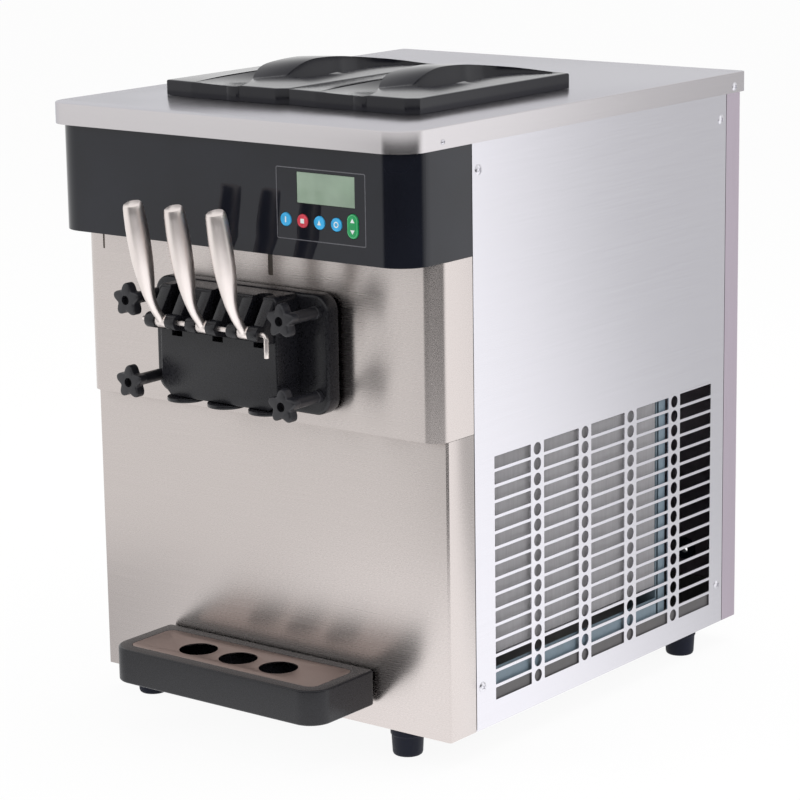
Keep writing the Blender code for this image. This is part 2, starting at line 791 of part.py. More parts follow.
def fascia():
    lip_to = -MID_NOSE + SHEET + LIP_RETURN
    cover = front_wrap("fascia", GLOSS_BLACK, FASCIA_NOSE, FASCIA_CORNER, FASCIA_WALL, FASCIA_Z, PANEL_TOP,
                       lip_to)
    front = FASCIA_FRONT - CUT_MARGIN
    back = FASCIA_BACK + CUT_MARGIN
    lcd = FASCIA_Z + LCD_RISE
    cut(cover, box("lcd_opening", (LCD_X - LCD_WIDTH / 2 - GAP, front, lcd - LCD_HEIGHT / 2 - GAP),
                   (LCD_X + LCD_WIDTH / 2 + GAP, back, lcd + LCD_HEIGHT / 2 + GAP)))
    keys = FASCIA_Z + KEY_RISE
    for i in range(KEY_COUNT):
        x = key_x(i)
        cut(cover, rod(f"key_hole_{i}", KEY_RADIUS + KEY_CLEAR, (x, front, keys), (x, back, keys), KEY_SIDES))
    rocker = pill(ROCKER_WIDTH + 2 * ROCKER_CLEAR, ROCKER_HEIGHT + 2 * ROCKER_CLEAR, (ROCKER_X, keys))
    cut(cover, extruded("rocker_hole", [rocker], front, back, "Y"))


def lcd_window():
    lcd = FASCIA_Z + LCD_RISE
    pane = box("pane", (LCD_X - LCD_WIDTH / 2, FASCIA_FRONT, lcd - LCD_HEIGHT / 2),
               (LCD_X + LCD_WIDTH / 2, FASCIA_BACK + LCD_REBATE, lcd + LCD_HEIGHT / 2))
    half_width = LCD_WIDTH / 2 + LCD_REBATE
    half_height = LCD_HEIGHT / 2 + LCD_REBATE
    back = FASCIA_BACK + GAP
    join(pane, box("pane_flange", (LCD_X - half_width, back, lcd - half_height),
                   (LCD_X + half_width, back + LCD_REBATE, lcd + half_height)))
    piece(pane, "lcd_window", DISPLAY_GREEN)


def keys():
    """Round keys, each captive behind the fascia, and the rocker key."""
    flange_front = FASCIA_WALL + GAP
    flange_back = flange_front + KEY_FLANGE_THICKNESS
    key = turned("key", [
        (0, flange_back),
        (KEY_RADIUS + KEY_FLANGE, flange_back),
        (KEY_RADIUS + KEY_FLANGE, flange_front),
        (KEY_RADIUS, flange_front),
        (KEY_RADIUS, -KEY_PROUD),
        (0, -KEY_PROUD),
    ], KEY_SIDES, "Y")
    level = FASCIA_Z + KEY_RISE
    places = {f"round_key_{i + 1}": (key_x(i), FASCIA_FRONT, level) for i in range(KEY_COUNT)}
    for made, material in zip(copies(key, KEY_BLUE, places), (KEY_BLUE, KEY_RED, KEY_BLUE, KEY_BLUE)):
        made.data = made.data.copy()
        made.data.materials[0] = material
    rocker = extruded("rocker", [pill(ROCKER_WIDTH, ROCKER_HEIGHT, (0, 0))], -KEY_PROUD, flange_front, "Y")
    stem_end = FASCIA_WALL + BOARD_SETBACK - 2 * GAP
    join(rocker, rod("rocker_stem", ROCKER_STEM, (0, 0, 0), (0, stem_end, 0), KEY_SIDES))
    piece(rocker, "rocker_key", KEY_GREEN, (ROCKER_X, FASCIA_FRONT, level))


def control_board():
    """A circuit board on four posts behind the fascia."""
    low_x = KEY_FIRST_X - KEY_RADIUS - BOARD_MARGIN
    high_x = ROCKER_X + ROCKER_WIDTH / 2 + BOARD_MARGIN
    low_z = FASCIA_Z + KEY_RISE - ROCKER_HEIGHT / 2 - BOARD_MARGIN
    high_z = FASCIA_Z + LCD_RISE + LCD_HEIGHT / 2 + BOARD_MARGIN
    board = box("board", (low_x, BOARD_FRONT, low_z), (high_x, BOARD_FRONT + BOARD_SHEET, high_z))
    for x in (low_x + BOARD_POST, high_x - BOARD_POST):
        for z in (low_z + BOARD_POST, high_z - BOARD_POST):
            post = rod(f"board_post_{x:.3f}_{z:.3f}", BOARD_POST / 2, (x, FASCIA_BACK + GAP, z),
                       (x, BOARD_FRONT + BOARD_SHEET / 2, z), 4)
            join(board, post)
    piece(board, "control_board", BOARD_GREEN)


def hopper_outline(grow):
    far = (HOPPER_WIDTH / 2 + grow, HOPPER_LENGTH / 2 + grow)
    corner = HOPPER_CORNER + grow
    return rounded_rectangle((-far[0], -far[1]), far, [corner] * 4, SMALL_STEPS)


def top_cover():
    low = TOP_Z - COVER_RIM
    out = HALF + COVER_OVERHANG
    back = BODY_DEPTH + COVER_OVERHANG
    corners = (COVER_CORNER, COVER_CORNER, PANEL_BEND, PANEL_BEND)
    cover = extruded("cover", [rounded_rectangle((-out, -COVER_NOSE), (out, back), corners)], low, TOP_Z)
    inner = [max(r - SHEET, 0) for r in corners]
    inside = rounded_rectangle((SHEET - out, SHEET - COVER_NOSE), (out - SHEET, back - SHEET), inner)
    cut(cover, extruded("cover_inside", [inside], low - CUT_MARGIN, TOP_Z - SHEET))
    for side, sign in SIDES.items():
        outline = [(sign * LID_X + u, LID_Y + v) for u, v in hopper_outline(GAP)]
        near, far = TOP_Z - SHEET - CUT_MARGIN, TOP_Z + CUT_MARGIN
        cut(cover, extruded(f"hopper_opening_{side}", [outline], near, far))
    piece(cover, "top_cover", BRUSHED_STEEL)


def side_sheet(side, sign):
    low, high = mirrored((HALF - SHEET, FRONT_WRAP + SEAM / 2, FOOT_HEIGHT),
                         (HALF, BODY_DEPTH - REAR_WRAP - SEAM / 2, PANEL_TOP), sign)
    return box(f"{side}_sheet", low, high), low[0] - CUT_MARGIN, high[0] + CUT_MARGIN


def right_side_panel():
    """The panel in front of the condenser: a field of slots with columns of round holes between them."""
    panel, near, far = side_sheet("right", 1)
    first = FOOT_HEIGHT + VENT_FOOT
    slot = box("slots", (near, VENT_FRONT, first), (far, VENT_FRONT + SLOT_LENGTH, first + SLOT_HEIGHT))
    pitches = (0, VENT_COLUMN_PITCH, VENT_ROW_PITCH)
    cut(panel, repeated("slots", slot, (1, VENT_COLUMNS, VENT_ROWS), pitches))
    y = VENT_FRONT + (SLOT_LENGTH + VENT_COLUMN_PITCH) / 2
    z = first + SLOT_HEIGHT / 2
    hole = rod("round_vents", ROUND_VENT_RADIUS, (near, y, z), (far, y, z), ROUND_VENT_SIDES)
    cut(panel, repeated("round_vents", hole, (1, VENT_COLUMNS - 1, VENT_ROWS), pitches))
    piece(panel, "right_side_panel", BRUSHED_STEEL)


def left_side_panel():
    """The other panel: two columns of long slots over the same height."""
    panel, near, far = side_sheet("left", -1)
    first = FOOT_HEIGHT + VENT_FOOT
    slot = box("plain_slots", (near, VENT_FRONT, first),
               (far, VENT_FRONT + PLAIN_SLOT_LENGTH, first + PLAIN_SLOT_HEIGHT))
    field = SLOT_LENGTH + (VENT_COLUMNS - 1) * VENT_COLUMN_PITCH
    pitches = (0, field - PLAIN_SLOT_LENGTH, 2 * VENT_ROW_PITCH)
    cut(panel, repeated("plain_slots", slot, (1, 2, PLAIN_SLOT_ROWS), pitches))
    piece(panel, "left_side_panel", BRUSHED_STEEL)


def rear_panel():
    front = BODY_DEPTH - REAR_WRAP + SEAM / 2
    outline = rounded_rectangle((-HALF, front), (HALF, BODY_DEPTH), (0, 0, PANEL_BEND, PANEL_BEND))
    panel = extruded("rear", [outline], FOOT_HEIGHT, PANEL_TOP)
    bend = max(PANEL_BEND - SHEET, 0)
    inside = rounded_rectangle((SHEET - HALF, front - CUT_MARGIN), (HALF - SHEET, BODY_DEPTH - SHEET),
                               (0, 0, bend, bend))
    cut(panel, extruded("rear_inside", [inside], FOOT_HEIGHT - CUT_MARGIN, PANEL_TOP + CUT_MARGIN))
    near, far = BODY_DEPTH - SHEET - CUT_MARGIN, BODY_DEPTH + CUT_MARGIN
    half = REAR_SLOT_LENGTH / 2
    slot = box("rear_slots", (-half, near, REAR_SLOT_Z), (half, far, REAR_SLOT_Z + REAR_SLOT_HEIGHT))
    cut(panel, repeated("rear_slots", slot, (1, 1, REAR_SLOT_ROWS), (0, 0, REAR_SLOT_PITCH)))
    cut(panel, rod("gland_hole", GLAND_RADIUS + GLAND_CLEAR, (GLAND_X, near, GLAND_Z),
                   (GLAND_X, far, GLAND_Z), GLAND_SIDES))
    piece(panel, "rear_panel", BRUSHED_STEEL)


def cord_gland():
    inner_end = -SHEET - GAP - GLAND_PROUD
    gland = turned("gland", [
        (GLAND_BORE, GLAND_PROUD),
        (GLAND_COLLAR, GLAND_PROUD),
        (GLAND_COLLAR, GAP),
        (GLAND_RADIUS, GAP),
        (GLAND_RADIUS, inner_end),
        (GLAND_BORE, inner_end),
    ], GLAND_SIDES, "Y", ring=True)
    piece(gland, "cord_gland", RUBBER, (GLAND_X, BODY_DEPTH, GLAND_Z))


def lid_crown(u, v):
    """How far a lid stands above its edge at a place on it, without the grip."""
    across, along = 2 * u / LID_WIDTH, 2 * v / LID_LENGTH
    return LID_CROWN * max(1 - across ** 2, 0) * max(1 - along ** 4, 0)


def grip_ridge(u, v):
    """The grip's own height: its near flank runs out to the rear and its far flank to the front."""
    half = GRIP_WIDTH / 2
    lean = GRIP_LEAN * u / half
    reach = max(GRIP_REACH + math.copysign(lean, v * u), GRIP_LEAN)
    fade = math.exp(-(max(abs(u) - half, 0) / GRIP_FADE) ** 2)
    return GRIP_RISE * fade * math.cos(math.pi / 2 * min(abs(v) / reach, 1))


def lid_outline():
    """A rectangle with a facet and a chamfer at the ends of its front edge, and the same turned about."""
    half_width, half_length = LID_WIDTH / 2, LID_LENGTH / 2
    front = [
        (-half_width, LID_FACET_SETBACK - half_length),
        (LID_FACET - half_width, -half_length),
        (half_width - LID_CHAMFER, -half_length),
        (half_width, LID_CHAMFER - half_length),
    ]
    return front + [(-u, -v) for u, v in front]


def lid_block():
    """A grid raised to the crown and the ridge over a flat underside."""
    form = bmesh.new()
    bmesh.ops.create_grid(form, x_segments=LID_COLUMNS, y_segments=LID_ROWS, size=0.5)
    bmesh.ops.scale(form, vec=(LID_WIDTH, LID_LENGTH, 1), verts=form.verts)
    underside = form.faces[:]
    raised = bmesh.ops.extrude_face_region(form, geom=underside)["geom"]
    for vert in raised:
        if isinstance(vert, bmesh.types.BMVert):
            u, v = vert.co.x, vert.co.y
            vert.co.z = LID_EDGE + lid_crown(u, v) + grip_ridge(u, v)
    bmesh.ops.dissolve_faces(form, faces=underside, use_verts=True)
    bmesh.ops.recalc_face_normals(form, faces=form.faces)
    return mesh_from("lid", form)


def scoop(name, turn):
    """A leaf-shaped valley beside the grip that opens at the lid's far edge, lofted through its stations."""
    form = bmesh.new()
    floor, roof = [], []
    for inner, outer, depth in SCOOP_STATIONS:
        rows = []
        for step in SCOOP_STEPS:
            u, v = [turn * (a + (b - a) * step) for a, b in zip(inner, outer)]
            drop = depth * (1 - step ** 2) if step else 0
            rows.append((u, v, LID_EDGE + lid_crown(u, v) - drop))
        floor.append([form.verts.new(point) for point in rows])
        roof.append([form.verts.new((u, v, SCOOP_ROOF)) for u, v, _ in rows])
    sheets = [floor, roof, [floor[0], roof[0]], [floor[-1], roof[-1]]]
    sheets += [[[row[end] for row in sheet] for sheet in (floor, roof)] for end in (0, -1)]
    for sheet in sheets:
        for a, b in zip(sheet, sheet[1:]):
            for i in range(len(a) - 1):
                form.faces.new((a[i], a[i + 1], b[i + 1], b[i]))
    bmesh.ops.recalc_face_normals(form, faces=form.faces)
    return mesh_from(name, form)


def hopper_lids():
    """A moulded lid: a crowned hollow slab with an arched grip between two scoops."""
    lid = lid_block()
    combine(lid, "INTERSECT", [extruded("lid_plan", [lid_outline()], -CUT_MARGIN, SCOOP_ROOF)])
    cut(lid, scoop("scoop_near", 1), scoop("scoop_far", -1))
    inner = (LID_WIDTH / 2 - LID_WALL, LID_LENGTH / 2 - LID_WALL)
    hollow = rounded_rectangle((-inner[0], -inner[1]), inner, [LID_CORNER] * 4, SMALL_STEPS)
    cut(lid, extruded("lid_hollow", [hollow], -CUT_MARGIN, LID_HOLLOW))
    places = {f"hopper_lid_{side}": (sign * LID_X, LID_Y, TOP_Z + GAP) for side, sign in SIDES.items()}
    copies(lid, MATTE_BLACK, places)


def hoppers():
    """Deep-drawn tubs that hang by their flanges, each with a spigot down into its freezing cylinder."""
    for side, sign in SIDES.items():
        spigot_x = sign * (SPIGOT_X - LID_X)
        spigot_y = SPIGOT_Y - LID_Y
        tub = extruded("tub", [hopper_outline(0)], HOPPER_FLOOR, TOP_Z + GAP + SHEET)
        join(tub, extruded("tub_flange", [hopper_outline(HOPPER_FLANGE)], TOP_Z + GAP, TOP_Z + GAP + SHEET))
        spigot_end = HEAD_MIDDLE + CYLINDER_BORE
        join(tub, rod("spigot", SPIGOT_RADIUS, (spigot_x, spigot_y, spigot_end),
                      (spigot_x, spigot_y, HOPPER_FLOOR + SHEET / 2), SPIGOT_SIDES))
        cut(tub, extruded("tub_inside", [hopper_outline(-SHEET)], HOPPER_FLOOR + SHEET, TOP_Z + CUT_MARGIN))
        cut(tub, rod("spigot_bore", SPIGOT_BORE, (spigot_x, spigot_y, spigot_end - CUT_MARGIN),
                     (spigot_x, spigot_y, HOPPER_FLOOR + SHEET + CUT_MARGIN), SPIGOT_SIDES))
        piece(tub, f"hopper_{side}", BRUSHED_STEEL, (sign * LID_X, LID_Y, 0))


def feed_tubes():
    tube_shape = turned("feed_tube", [
        (FEED_TUBE_BORE, FEED_TUBE_HEIGHT),
        (FEED_TUBE_RADIUS, FEED_TUBE_HEIGHT),
        (FEED_TUBE_RADIUS, FEED_COLLAR),
        (FEED_COLLAR_RADIUS, FEED_COLLAR),
        (FEED_COLLAR_RADIUS, 0),
        (FEED_TUBE_RADIUS, 0),
        (FEED_TUBE_RADIUS, -FEED_TUBE_PLUG),
        (FEED_TUBE_BORE, -FEED_TUBE_PLUG),
    ], SPIGOT_SIDES, ring=True)
    seat = HOPPER_FLOOR + SHEET + GAP
    places = {f"feed_tube_{side}": (sign * SPIGOT_X, SPIGOT_Y, seat) for side, sign in SIDES.items()}
    copies(tube_shape, WHITE_PLASTIC, places)


def freezing_cylinders():
    for side, sign in SIDES.items():
        x = sign * CYLINDER_SPACING / 2
        barrel = turned("barrel", [
            (SHAFT_RADIUS + SHAFT_CLEAR, CYLINDER_BACK),
            (CYLINDER_RADIUS, CYLINDER_BACK),
            (CYLINDER_RADIUS, CYLINDER_FRONT),
            (CYLINDER_BORE, CYLINDER_FRONT),
            (CYLINDER_BORE, CYLINDER_BACK - CYLINDER_END),
            (SHAFT_RADIUS + SHAFT_CLEAR, CYLINDER_BACK - CYLINDER_END),
        ], CYLINDER_SIDES, "Y", (0, 0, HEAD_MIDDLE), ring=True)
        middle = (CYLINDER_FRONT + CYLINDER_BACK) / 2
        wall_middle = HEAD_MIDDLE - (CYLINDER_RADIUS + CYLINDER_BORE) / 2
        saddle = box("saddle", (-SADDLE_WIDTH / 2, middle - SADDLE_LENGTH / 2, DECK_TOP + GAP),
                     (SADDLE_WIDTH / 2, middle + SADDLE_LENGTH / 2, wall_middle))
        cut(saddle, rod("saddle_seat", CYLINDER_BORE + SHEET, (0, CYLINDER_FRONT, HEAD_MIDDLE),
                        (0, CYLINDER_BACK, HEAD_MIDDLE), CYLINDER_SIDES))
        join(barrel, settled(saddle))
        port = sign * SPIGOT_X - x
        cut(barrel, rod("feed_port", SPIGOT_RADIUS + GAP, (port, SPIGOT_Y, HEAD_MIDDLE),
                        (port, SPIGOT_Y, HEAD_MIDDLE + CYLINDER_RADIUS + CUT_MARGIN), SPIGOT_SIDES))
        piece(barrel, f"freezing_cylinder_{side}", SATIN_STEEL, (x, 0, 0))


def beaters():
    """A shaft with an open helical scraper blade on spokes."""
    start = CYLINDER_FRONT + 2 * SPOKE_RADIUS
    end = CYLINDER_BACK - CYLINDER_END - 2 * SPOKE_RADIUS
    count = round(BLADE_TURNS * BLADE_POINTS)
    angles = [math.radians(BLADE_START) + 2 * math.pi * BLADE_TURNS * i / count for i in range(count + 1)]
    line = [(BLADE_ORBIT * math.cos(a), start + (end - start) * i / count, BLADE_ORBIT * math.sin(a))
            for i, a in enumerate(angles)]
    tail = GEARBOX_FRONT + SOCKET_DEPTH - GAP
    beater = rod("shaft", SHAFT_RADIUS, (0, start - SPOKE_RADIUS, 0), (0, tail, 0))
    join(beater, tube("blade", line, BLADE_RADIUS, resolution=0))
    for i in range(0, count + 1, BLADE_POINTS):
        x, y, z = line[i]
        join(beater, rod(f"spoke_{i}", SPOKE_RADIUS, (0, y, 0), (x, y, z), 5))
    copies(beater, SATIN_STEEL, {
        f"beater_{side}": (sign * CYLINDER_SPACING / 2, 0, HEAD_MIDDLE) for side, sign in SIDES.items()})


def screw_places():
    x = HEAD_WIDTH / 2 - SCREW_INSET_X
    levels = {"upper": HEAD_TOP - SCREW_INSET_TOP, "lower": HEAD_BOTTOM + SCREW_INSET_BOTTOM}
    return {f"hand_screw_{row}_{side}": (sign * x, FLANGE_FRONT, z)
            for row, z in levels.items() for side, sign in SIDES.items()}


def head_holes():
    """The cylinder bores and screw holes that the plate and the gasket share."""
    centres = [(sign * CYLINDER_SPACING / 2, HEAD_MIDDLE) for sign in SIDES.values()]
    bores = [circle(centre, CYLINDER_BORE, CYLINDER_SIDES) for centre in centres]
    holes = [circle((x, z), SHANK_RADIUS + SHANK_CLEAR, STEM_SIDES) for x, _, z in screw_places().values()]
    return bores + holes


def cylinder_plate():
    """The plate behind the mid panel that joins both cylinders and takes the hand screws."""
    half = HEAD_WIDTH / 2
    outline = rounded_rectangle((-half, HEAD_BOTTOM), (half, HEAD_TOP), [HEAD_CORNER] * 4, SMALL_STEPS)
    plate = extruded("plate", [outline, *head_holes()], PLATE_FRONT, PLATE_BACK, "Y")
    piece(plate, "cylinder_plate", SATIN_STEEL)


def head_gasket():
    loops = [gasket_outline(0), *head_holes()]
    piece(extruded("gasket", loops, FLANGE_BACK + GAP, PLATE_FRONT - GAP, "Y"), "head_gasket", RUBBER)


def lug_outline():
    """The side view of a lug: down from the block's top to a round nose on the pin, and back to the face."""
    root = BLOCK_FRONT + LUG_ROOT
    top = HEAD_TOP - HEAD_BEVEL
    nose = arc((PIVOT_Y, PIVOT_Z), LUG_NOSE, 60, 270, 2 * SMALL_STEPS)
    return [(root, HEAD_TOP - LUG_FOOT), (root, top), (BLOCK_FRONT, top)] + nose


def lug_centres():
    offset = (LUG_GAP + LUG_WIDTH) / 2
    return [x + sign * offset for x in OUTLETS.values() for sign in SIDES.values()]


def dispensing_head():
    """Flange, block and lugs in one moulding, bored for the pistons and ported from the cylinders."""
    half = HEAD_WIDTH / 2
    flange = rounded_rectangle((-half, HEAD_BOTTOM), (half, HEAD_TOP), [HEAD_CORNER] * 4, SMALL_STEPS)
    head = extruded("head", [flange], FLANGE_FRONT, FLANGE_BACK, "Y")
    half = BLOCK_WIDTH / 2
    corners = (BLOCK_CHAMFER, BLOCK_CHAMFER, HEAD_BEVEL, HEAD_BEVEL)
    face = rounded_rectangle((-half, BLOCK_BOTTOM), (half, HEAD_TOP - BLOCK_STEP), corners, 2)
    join(head, extruded("block", [face], BLOCK_FRONT, FLANGE_FRONT + FLANGE_THICKNESS / 2, "Y"))
    for i, x in enumerate(lug_centres()):
        join(head, extruded(f"lug_{i}", [lug_outline()], x - LUG_WIDTH / 2, x + LUG_WIDTH / 2, "X"))
    for name, x in OUTLETS.items():
        cut(head, rod(f"bore_{name}", BORE_RADIUS, (x, BORE_Y, BLOCK_BOTTOM - CUT_MARGIN),
                      (x, BORE_Y, HEAD_TOP + CUT_MARGIN), BORE_SIDES))
        cut(head, box(f"pocket_{name}", (x - LUG_GAP / 2, BLOCK_FRONT - CUT_MARGIN, HEAD_TOP - POCKET_FLOOR),
                      (x + LUG_GAP / 2, BORE_Y, HEAD_TOP + CUT_MARGIN)))
    reach = OUTLET_SPACING + LUG_GAP + LUG_WIDTH
    pin = PIN_RADIUS + PIN_RUNNING
    cut(head, rod("pin_hole", pin, (-reach, PIVOT_Y, PIVOT_Z), (reach, PIVOT_Y, PIVOT_Z), STEM_SIDES))
    for name, (x, _, z) in screw_places().items():
        cut(head, rod(name + "_hole", SHANK_RADIUS + SHANK_CLEAR, (x, FLANGE_FRONT - CUT_MARGIN, z),
                      (x, FLANGE_BACK + CUT_MARGIN, z), STEM_SIDES))
    level = HEAD_MIDDLE - CYLINDER_BORE + PORT_RISE
    port_end = FLANGE_BACK - RECESS_DEPTH / 2
    for side, sign in SIDES.items():
        x = sign * CYLINDER_SPACING / 2
        cut(head, rod(f"recess_{side}", CYLINDER_BORE, (x, FLANGE_BACK - RECESS_DEPTH, HEAD_MIDDLE),
                      (x, FLANGE_BACK + CUT_MARGIN, HEAD_MIDDLE), CYLINDER_SIDES))
        outlet = sign * OUTLET_SPACING
        cut(head, rod(f"port_{side}", PORT_RADIUS, (outlet, BORE_Y, level), (outlet, port_end, level),
                      PORT_SIDES))
        cut(head, rod(f"centre_port_{side}", PORT_RADIUS, (0, BORE_Y, level),
                      (sign * CENTRE_PORT_SPREAD, port_end, HEAD_MIDDLE - CENTRE_PORT_DROP), PORT_SIDES))
    piece(head, "dispensing_head", MATTE_BLACK)


def finger_tip():
    """The lever finger's end in the handle's own frame, before it lifts."""
    reach = PIVOT_AHEAD + BORE_SETBACK - FINGER_INSET
    return (0, reach, -reach * math.tan(math.radians(FINGER_DROP_ANGLE)))


def draw_handles():
    """A bent, swelling grip on a hub that turns on the pin, with a finger back into the piston."""
    line = [finger_tip()] + [(0, -forward, up) for forward, up, _ in HANDLE_LINE]
    radii = [FINGER_RADIUS] + [radius for _, _, radius in HANDLE_LINE]
    handle = tube("handle", line, 1.0, radii)
    half = LUG_GAP / 2 - HUB_CLEAR
    join(handle, rod("hub", HUB_RADIUS, (-half, 0, 0), (half, 0, 0)))
    reach = half + CUT_MARGIN
    cut(handle, rod("hub_bore", PIN_RADIUS + PIN_RUNNING, (-reach, 0, 0), (reach, 0, 0), STEM_SIDES))
    places = {f"draw_handle_{name}": (x, PIVOT_Y, PIVOT_Z) for name, x in OUTLETS.items()}
    return copies(handle, SATIN_STEEL, places)


def pivot_pin():
    """One pin through every lug, its right end bent down so that it can be drawn out."""
    reach = OUTLET_SPACING + LUG_GAP / 2 + LUG_WIDTH + PIN_OVERHANG
    bend = arc((reach - PIN_BEND, -PIN_BEND), PIN_BEND, 90, 0)
    line = [(-reach, 0, 0)] + [(u, 0, v) for u, v in bend] + [(reach, 0, -PIN_TAIL)]
    piece(tube("pin", line, PIN_RADIUS), "pivot_pin", SATIN_STEEL, (0, PIVOT_Y, PIVOT_Z))


def draw_pistons():
    """Valve pistons, each notched at the front for the lever's finger."""
    high = HEAD_TOP - BLOCK_BOTTOM - PISTON_TOP_DROP
    piston = rod("piston", BORE_RADIUS - PISTON_CLEAR, (0, 0, PISTON_CLEAR), (0, 0, high), BORE_SIDES)
    _, reach, drop = finger_tip()
    tip_z = PIVOT_Z + drop - BLOCK_BOTTOM
    tip_y = PIVOT_Y + reach - BORE_Y
    half = FINGER_RADIUS + NOTCH_CLEAR
    cut(piston, box("notch", (-BORE_RADIUS, -BORE_RADIUS - CUT_MARGIN, tip_z - half),
                    (BORE_RADIUS, tip_y + FINGER_RADIUS + NOTCH_BACK, tip_z + half)))
    places = {f"draw_piston_{name}": (x, BORE_Y, BLOCK_BOTTOM) for name, x in OUTLETS.items()}
    copies(piston, MATTE_BLACK, places)


def star_nozzles():
    """Caps under the outlets, each with a star-shaped opening."""
    corners = range(2 * STAR_POINTS)
    star = [(STAR_INNER if i % 2 else STAR_OUTER, math.pi * i / STAR_POINTS) for i in corners]
    opening = [(r * math.cos(a), r * math.sin(a)) for r, a in star]
    rim = circle((0, 0), NOZZLE_RADIUS, NOZZLE_SIDES)
    nozzle = extruded("nozzle", [rim, opening], -GAP - NOZZLE_HEIGHT, -GAP)
    places = {f"star_nozzle_{name}": (x, BORE_Y, BLOCK_BOTTOM) for name, x in OUTLETS.items()}
    copies(nozzle, MATTE_BLACK, places)


def hand_screws():
    """A lobed knob on a long stem, with a shank through the flange into the cylinder plate."""
    count = KNOB_LOBES * KNOB_POINTS
    angles = [2 * math.pi * i / count for i in range(count)]
    radii = [KNOB_RADIUS - KNOB_WAVE + KNOB_WAVE * math.cos(KNOB_LOBES * a) for a in angles]
    outline = [(r * math.sin(a), r * math.cos(a)) for r, a in zip(radii, angles)]
    face = -STEM_LENGTH - KNOB_THICKNESS
    screw = extruded("knob", [outline[::-1]], face, -STEM_LENGTH, "Y")
    join(screw, rod("stem", STEM_RADIUS, (0, face + KNOB_THICKNESS / 2, 0), (0, -GAP, 0), STEM_SIDES))
    end = PLATE_FRONT - FLANGE_FRONT + SHANK_ENGAGEMENT
    join(screw, rod("shank", SHANK_RADIUS, (0, -STEM_LENGTH / 2, 0), (0, end, 0), STEM_SIDES))
    cut(screw, rod("socket", KNOB_SOCKET, (0, face - CUT_MARGIN, 0), (0, face + KNOB_SOCKET_DEPTH, 0),
                   STEM_SIDES))
    copies(screw, MATTE_BLACK, screw_places())


def cup_plate_outline(grow):
    half = TRAY_WIDTH / 2 - CUP_PLATE_BORDER + grow
    front = TRAY_REAR - TRAY_DEPTH + CUP_PLATE_BORDER - grow
    back = TRAY_REAR - CUP_PLATE_BORDER + grow
    corner = CUP_PLATE_CORNER + grow
    return rounded_rectangle((-half, front), (half, back), [corner] * 4, SMALL_STEPS)


def drip_tray():
    half = TRAY_WIDTH / 2
    corners = (TRAY_CORNER, TRAY_CORNER, 0, 0)
    outline = rounded_rectangle((-half, TRAY_REAR - TRAY_DEPTH), (half, TRAY_REAR), corners)
    tray = extruded("tray", [outline], TRAY_BOTTOM, TRAY_TOP)
    seat = TRAY_TOP - CUP_PLATE_SHEET - GAP
    cut(tray, extruded("plate_seat", [cup_plate_outline(GAP)], seat, TRAY_TOP + CUT_MARGIN))
    floor = TRAY_BOTTOM + TRAY_RECESS + TRAY_FLOOR
    cut(tray, extruded("basin", [cup_plate_outline(-CUP_PLATE_LEDGE)], floor, TRAY_TOP))
    reach = TRAY_REAR - BRACKET_REACH
    side = BRACKET_WIDTH / 2 + GAP
    cut(tray, box("bracket_recess", (-side, reach, TRAY_BOTTOM - CUT_MARGIN),
                  (side, CUT_MARGIN, TRAY_BOTTOM + TRAY_RECESS)))
    piece(tray, "drip_tray", MATTE_BLACK)


def cup_plate():
    y = TRAY_REAR - TRAY_DEPTH + CUP_HOLE_SETBACK
    holes = [circle((x, y), CUP_HOLE_RADIUS, CUP_HOLE_SIDES) for x in OUTLETS.values()]
    plate = extruded("cups", [cup_plate_outline(0), *holes], TRAY_TOP - CUP_PLATE_SHEET, TRAY_TOP)
    piece(plate, "cup_plate", BRUSHED_STEEL)


def tray_bracket():
    """A bent shelf under the tray, fixed to the lower front panel."""
    half = BRACKET_WIDTH / 2
    top = TRAY_BOTTOM + TRAY_RECESS - GAP
    low = top - SHEET
    shelf = box("shelf", (-half, TRAY_REAR + GAP - BRACKET_REACH, low), (half, -GAP, top))
    join(shelf, box("leaf", (-half, -GAP - SHEET, low), (half, -GAP, low + BRACKET_RISE)))
    piece(shelf, "tray_bracket", ZINC_STEEL)


def condenser():
    """A finned block in an end frame that stands in the base pan."""
    back = CONDENSER_FRONT + CONDENSER_LENGTH
    top = CONDENSER_Z + CONDENSER_HEIGHT
    pitch = (CONDENSER_LENGTH - FIN_THICKNESS) / (FIN_COUNT - 1)
    spine = CONDENSER_IN + CONDENSER_SPINE
    comb = [(CONDENSER_IN, back), (CONDENSER_IN, CONDENSER_FRONT)]
    for i in range(FIN_COUNT):
        y = CONDENSER_FRONT + pitch * i
        comb += [(CONDENSER_OUT, y), (CONDENSER_OUT, y + FIN_THICKNESS)]
        if i < FIN_COUNT - 1:
            comb += [(spine, y + FIN_THICKNESS), (spine, y + pitch)]
    block = extruded("fins", [comb], CONDENSER_Z, top)
    foot = PAN_FLOOR + GAP
    face = CONDENSER_OUT + FRAME_SHEET
    end = back - FIN_THICKNESS / 2
    brow = top + FRAME_SHEET
    join(block, box("end_plate", (CONDENSER_IN, end, foot), (face, back + FRAME_SHEET, brow)))
    join(block, box("end_flange", (CONDENSER_OUT, back, foot), (face, back + FRAME_FLANGE, brow)))
    near = CONDENSER_FRONT + FIN_THICKNESS / 2
    join(block, box("front_plate", (CONDENSER_IN, CONDENSER_FRONT - FRAME_SHEET, foot), (face, near, brow)))
    rail = FOOT_HEIGHT + RAIL_FOOT
    join(block, box("rail", (CONDENSER_OUT, CONDENSER_FRONT - FRAME_SHEET / 2, rail),
                    (face, back + FRAME_FLANGE / 2, rail + RAIL_HEIGHT)))
    piece(block, "condenser", ALUMINIUM)


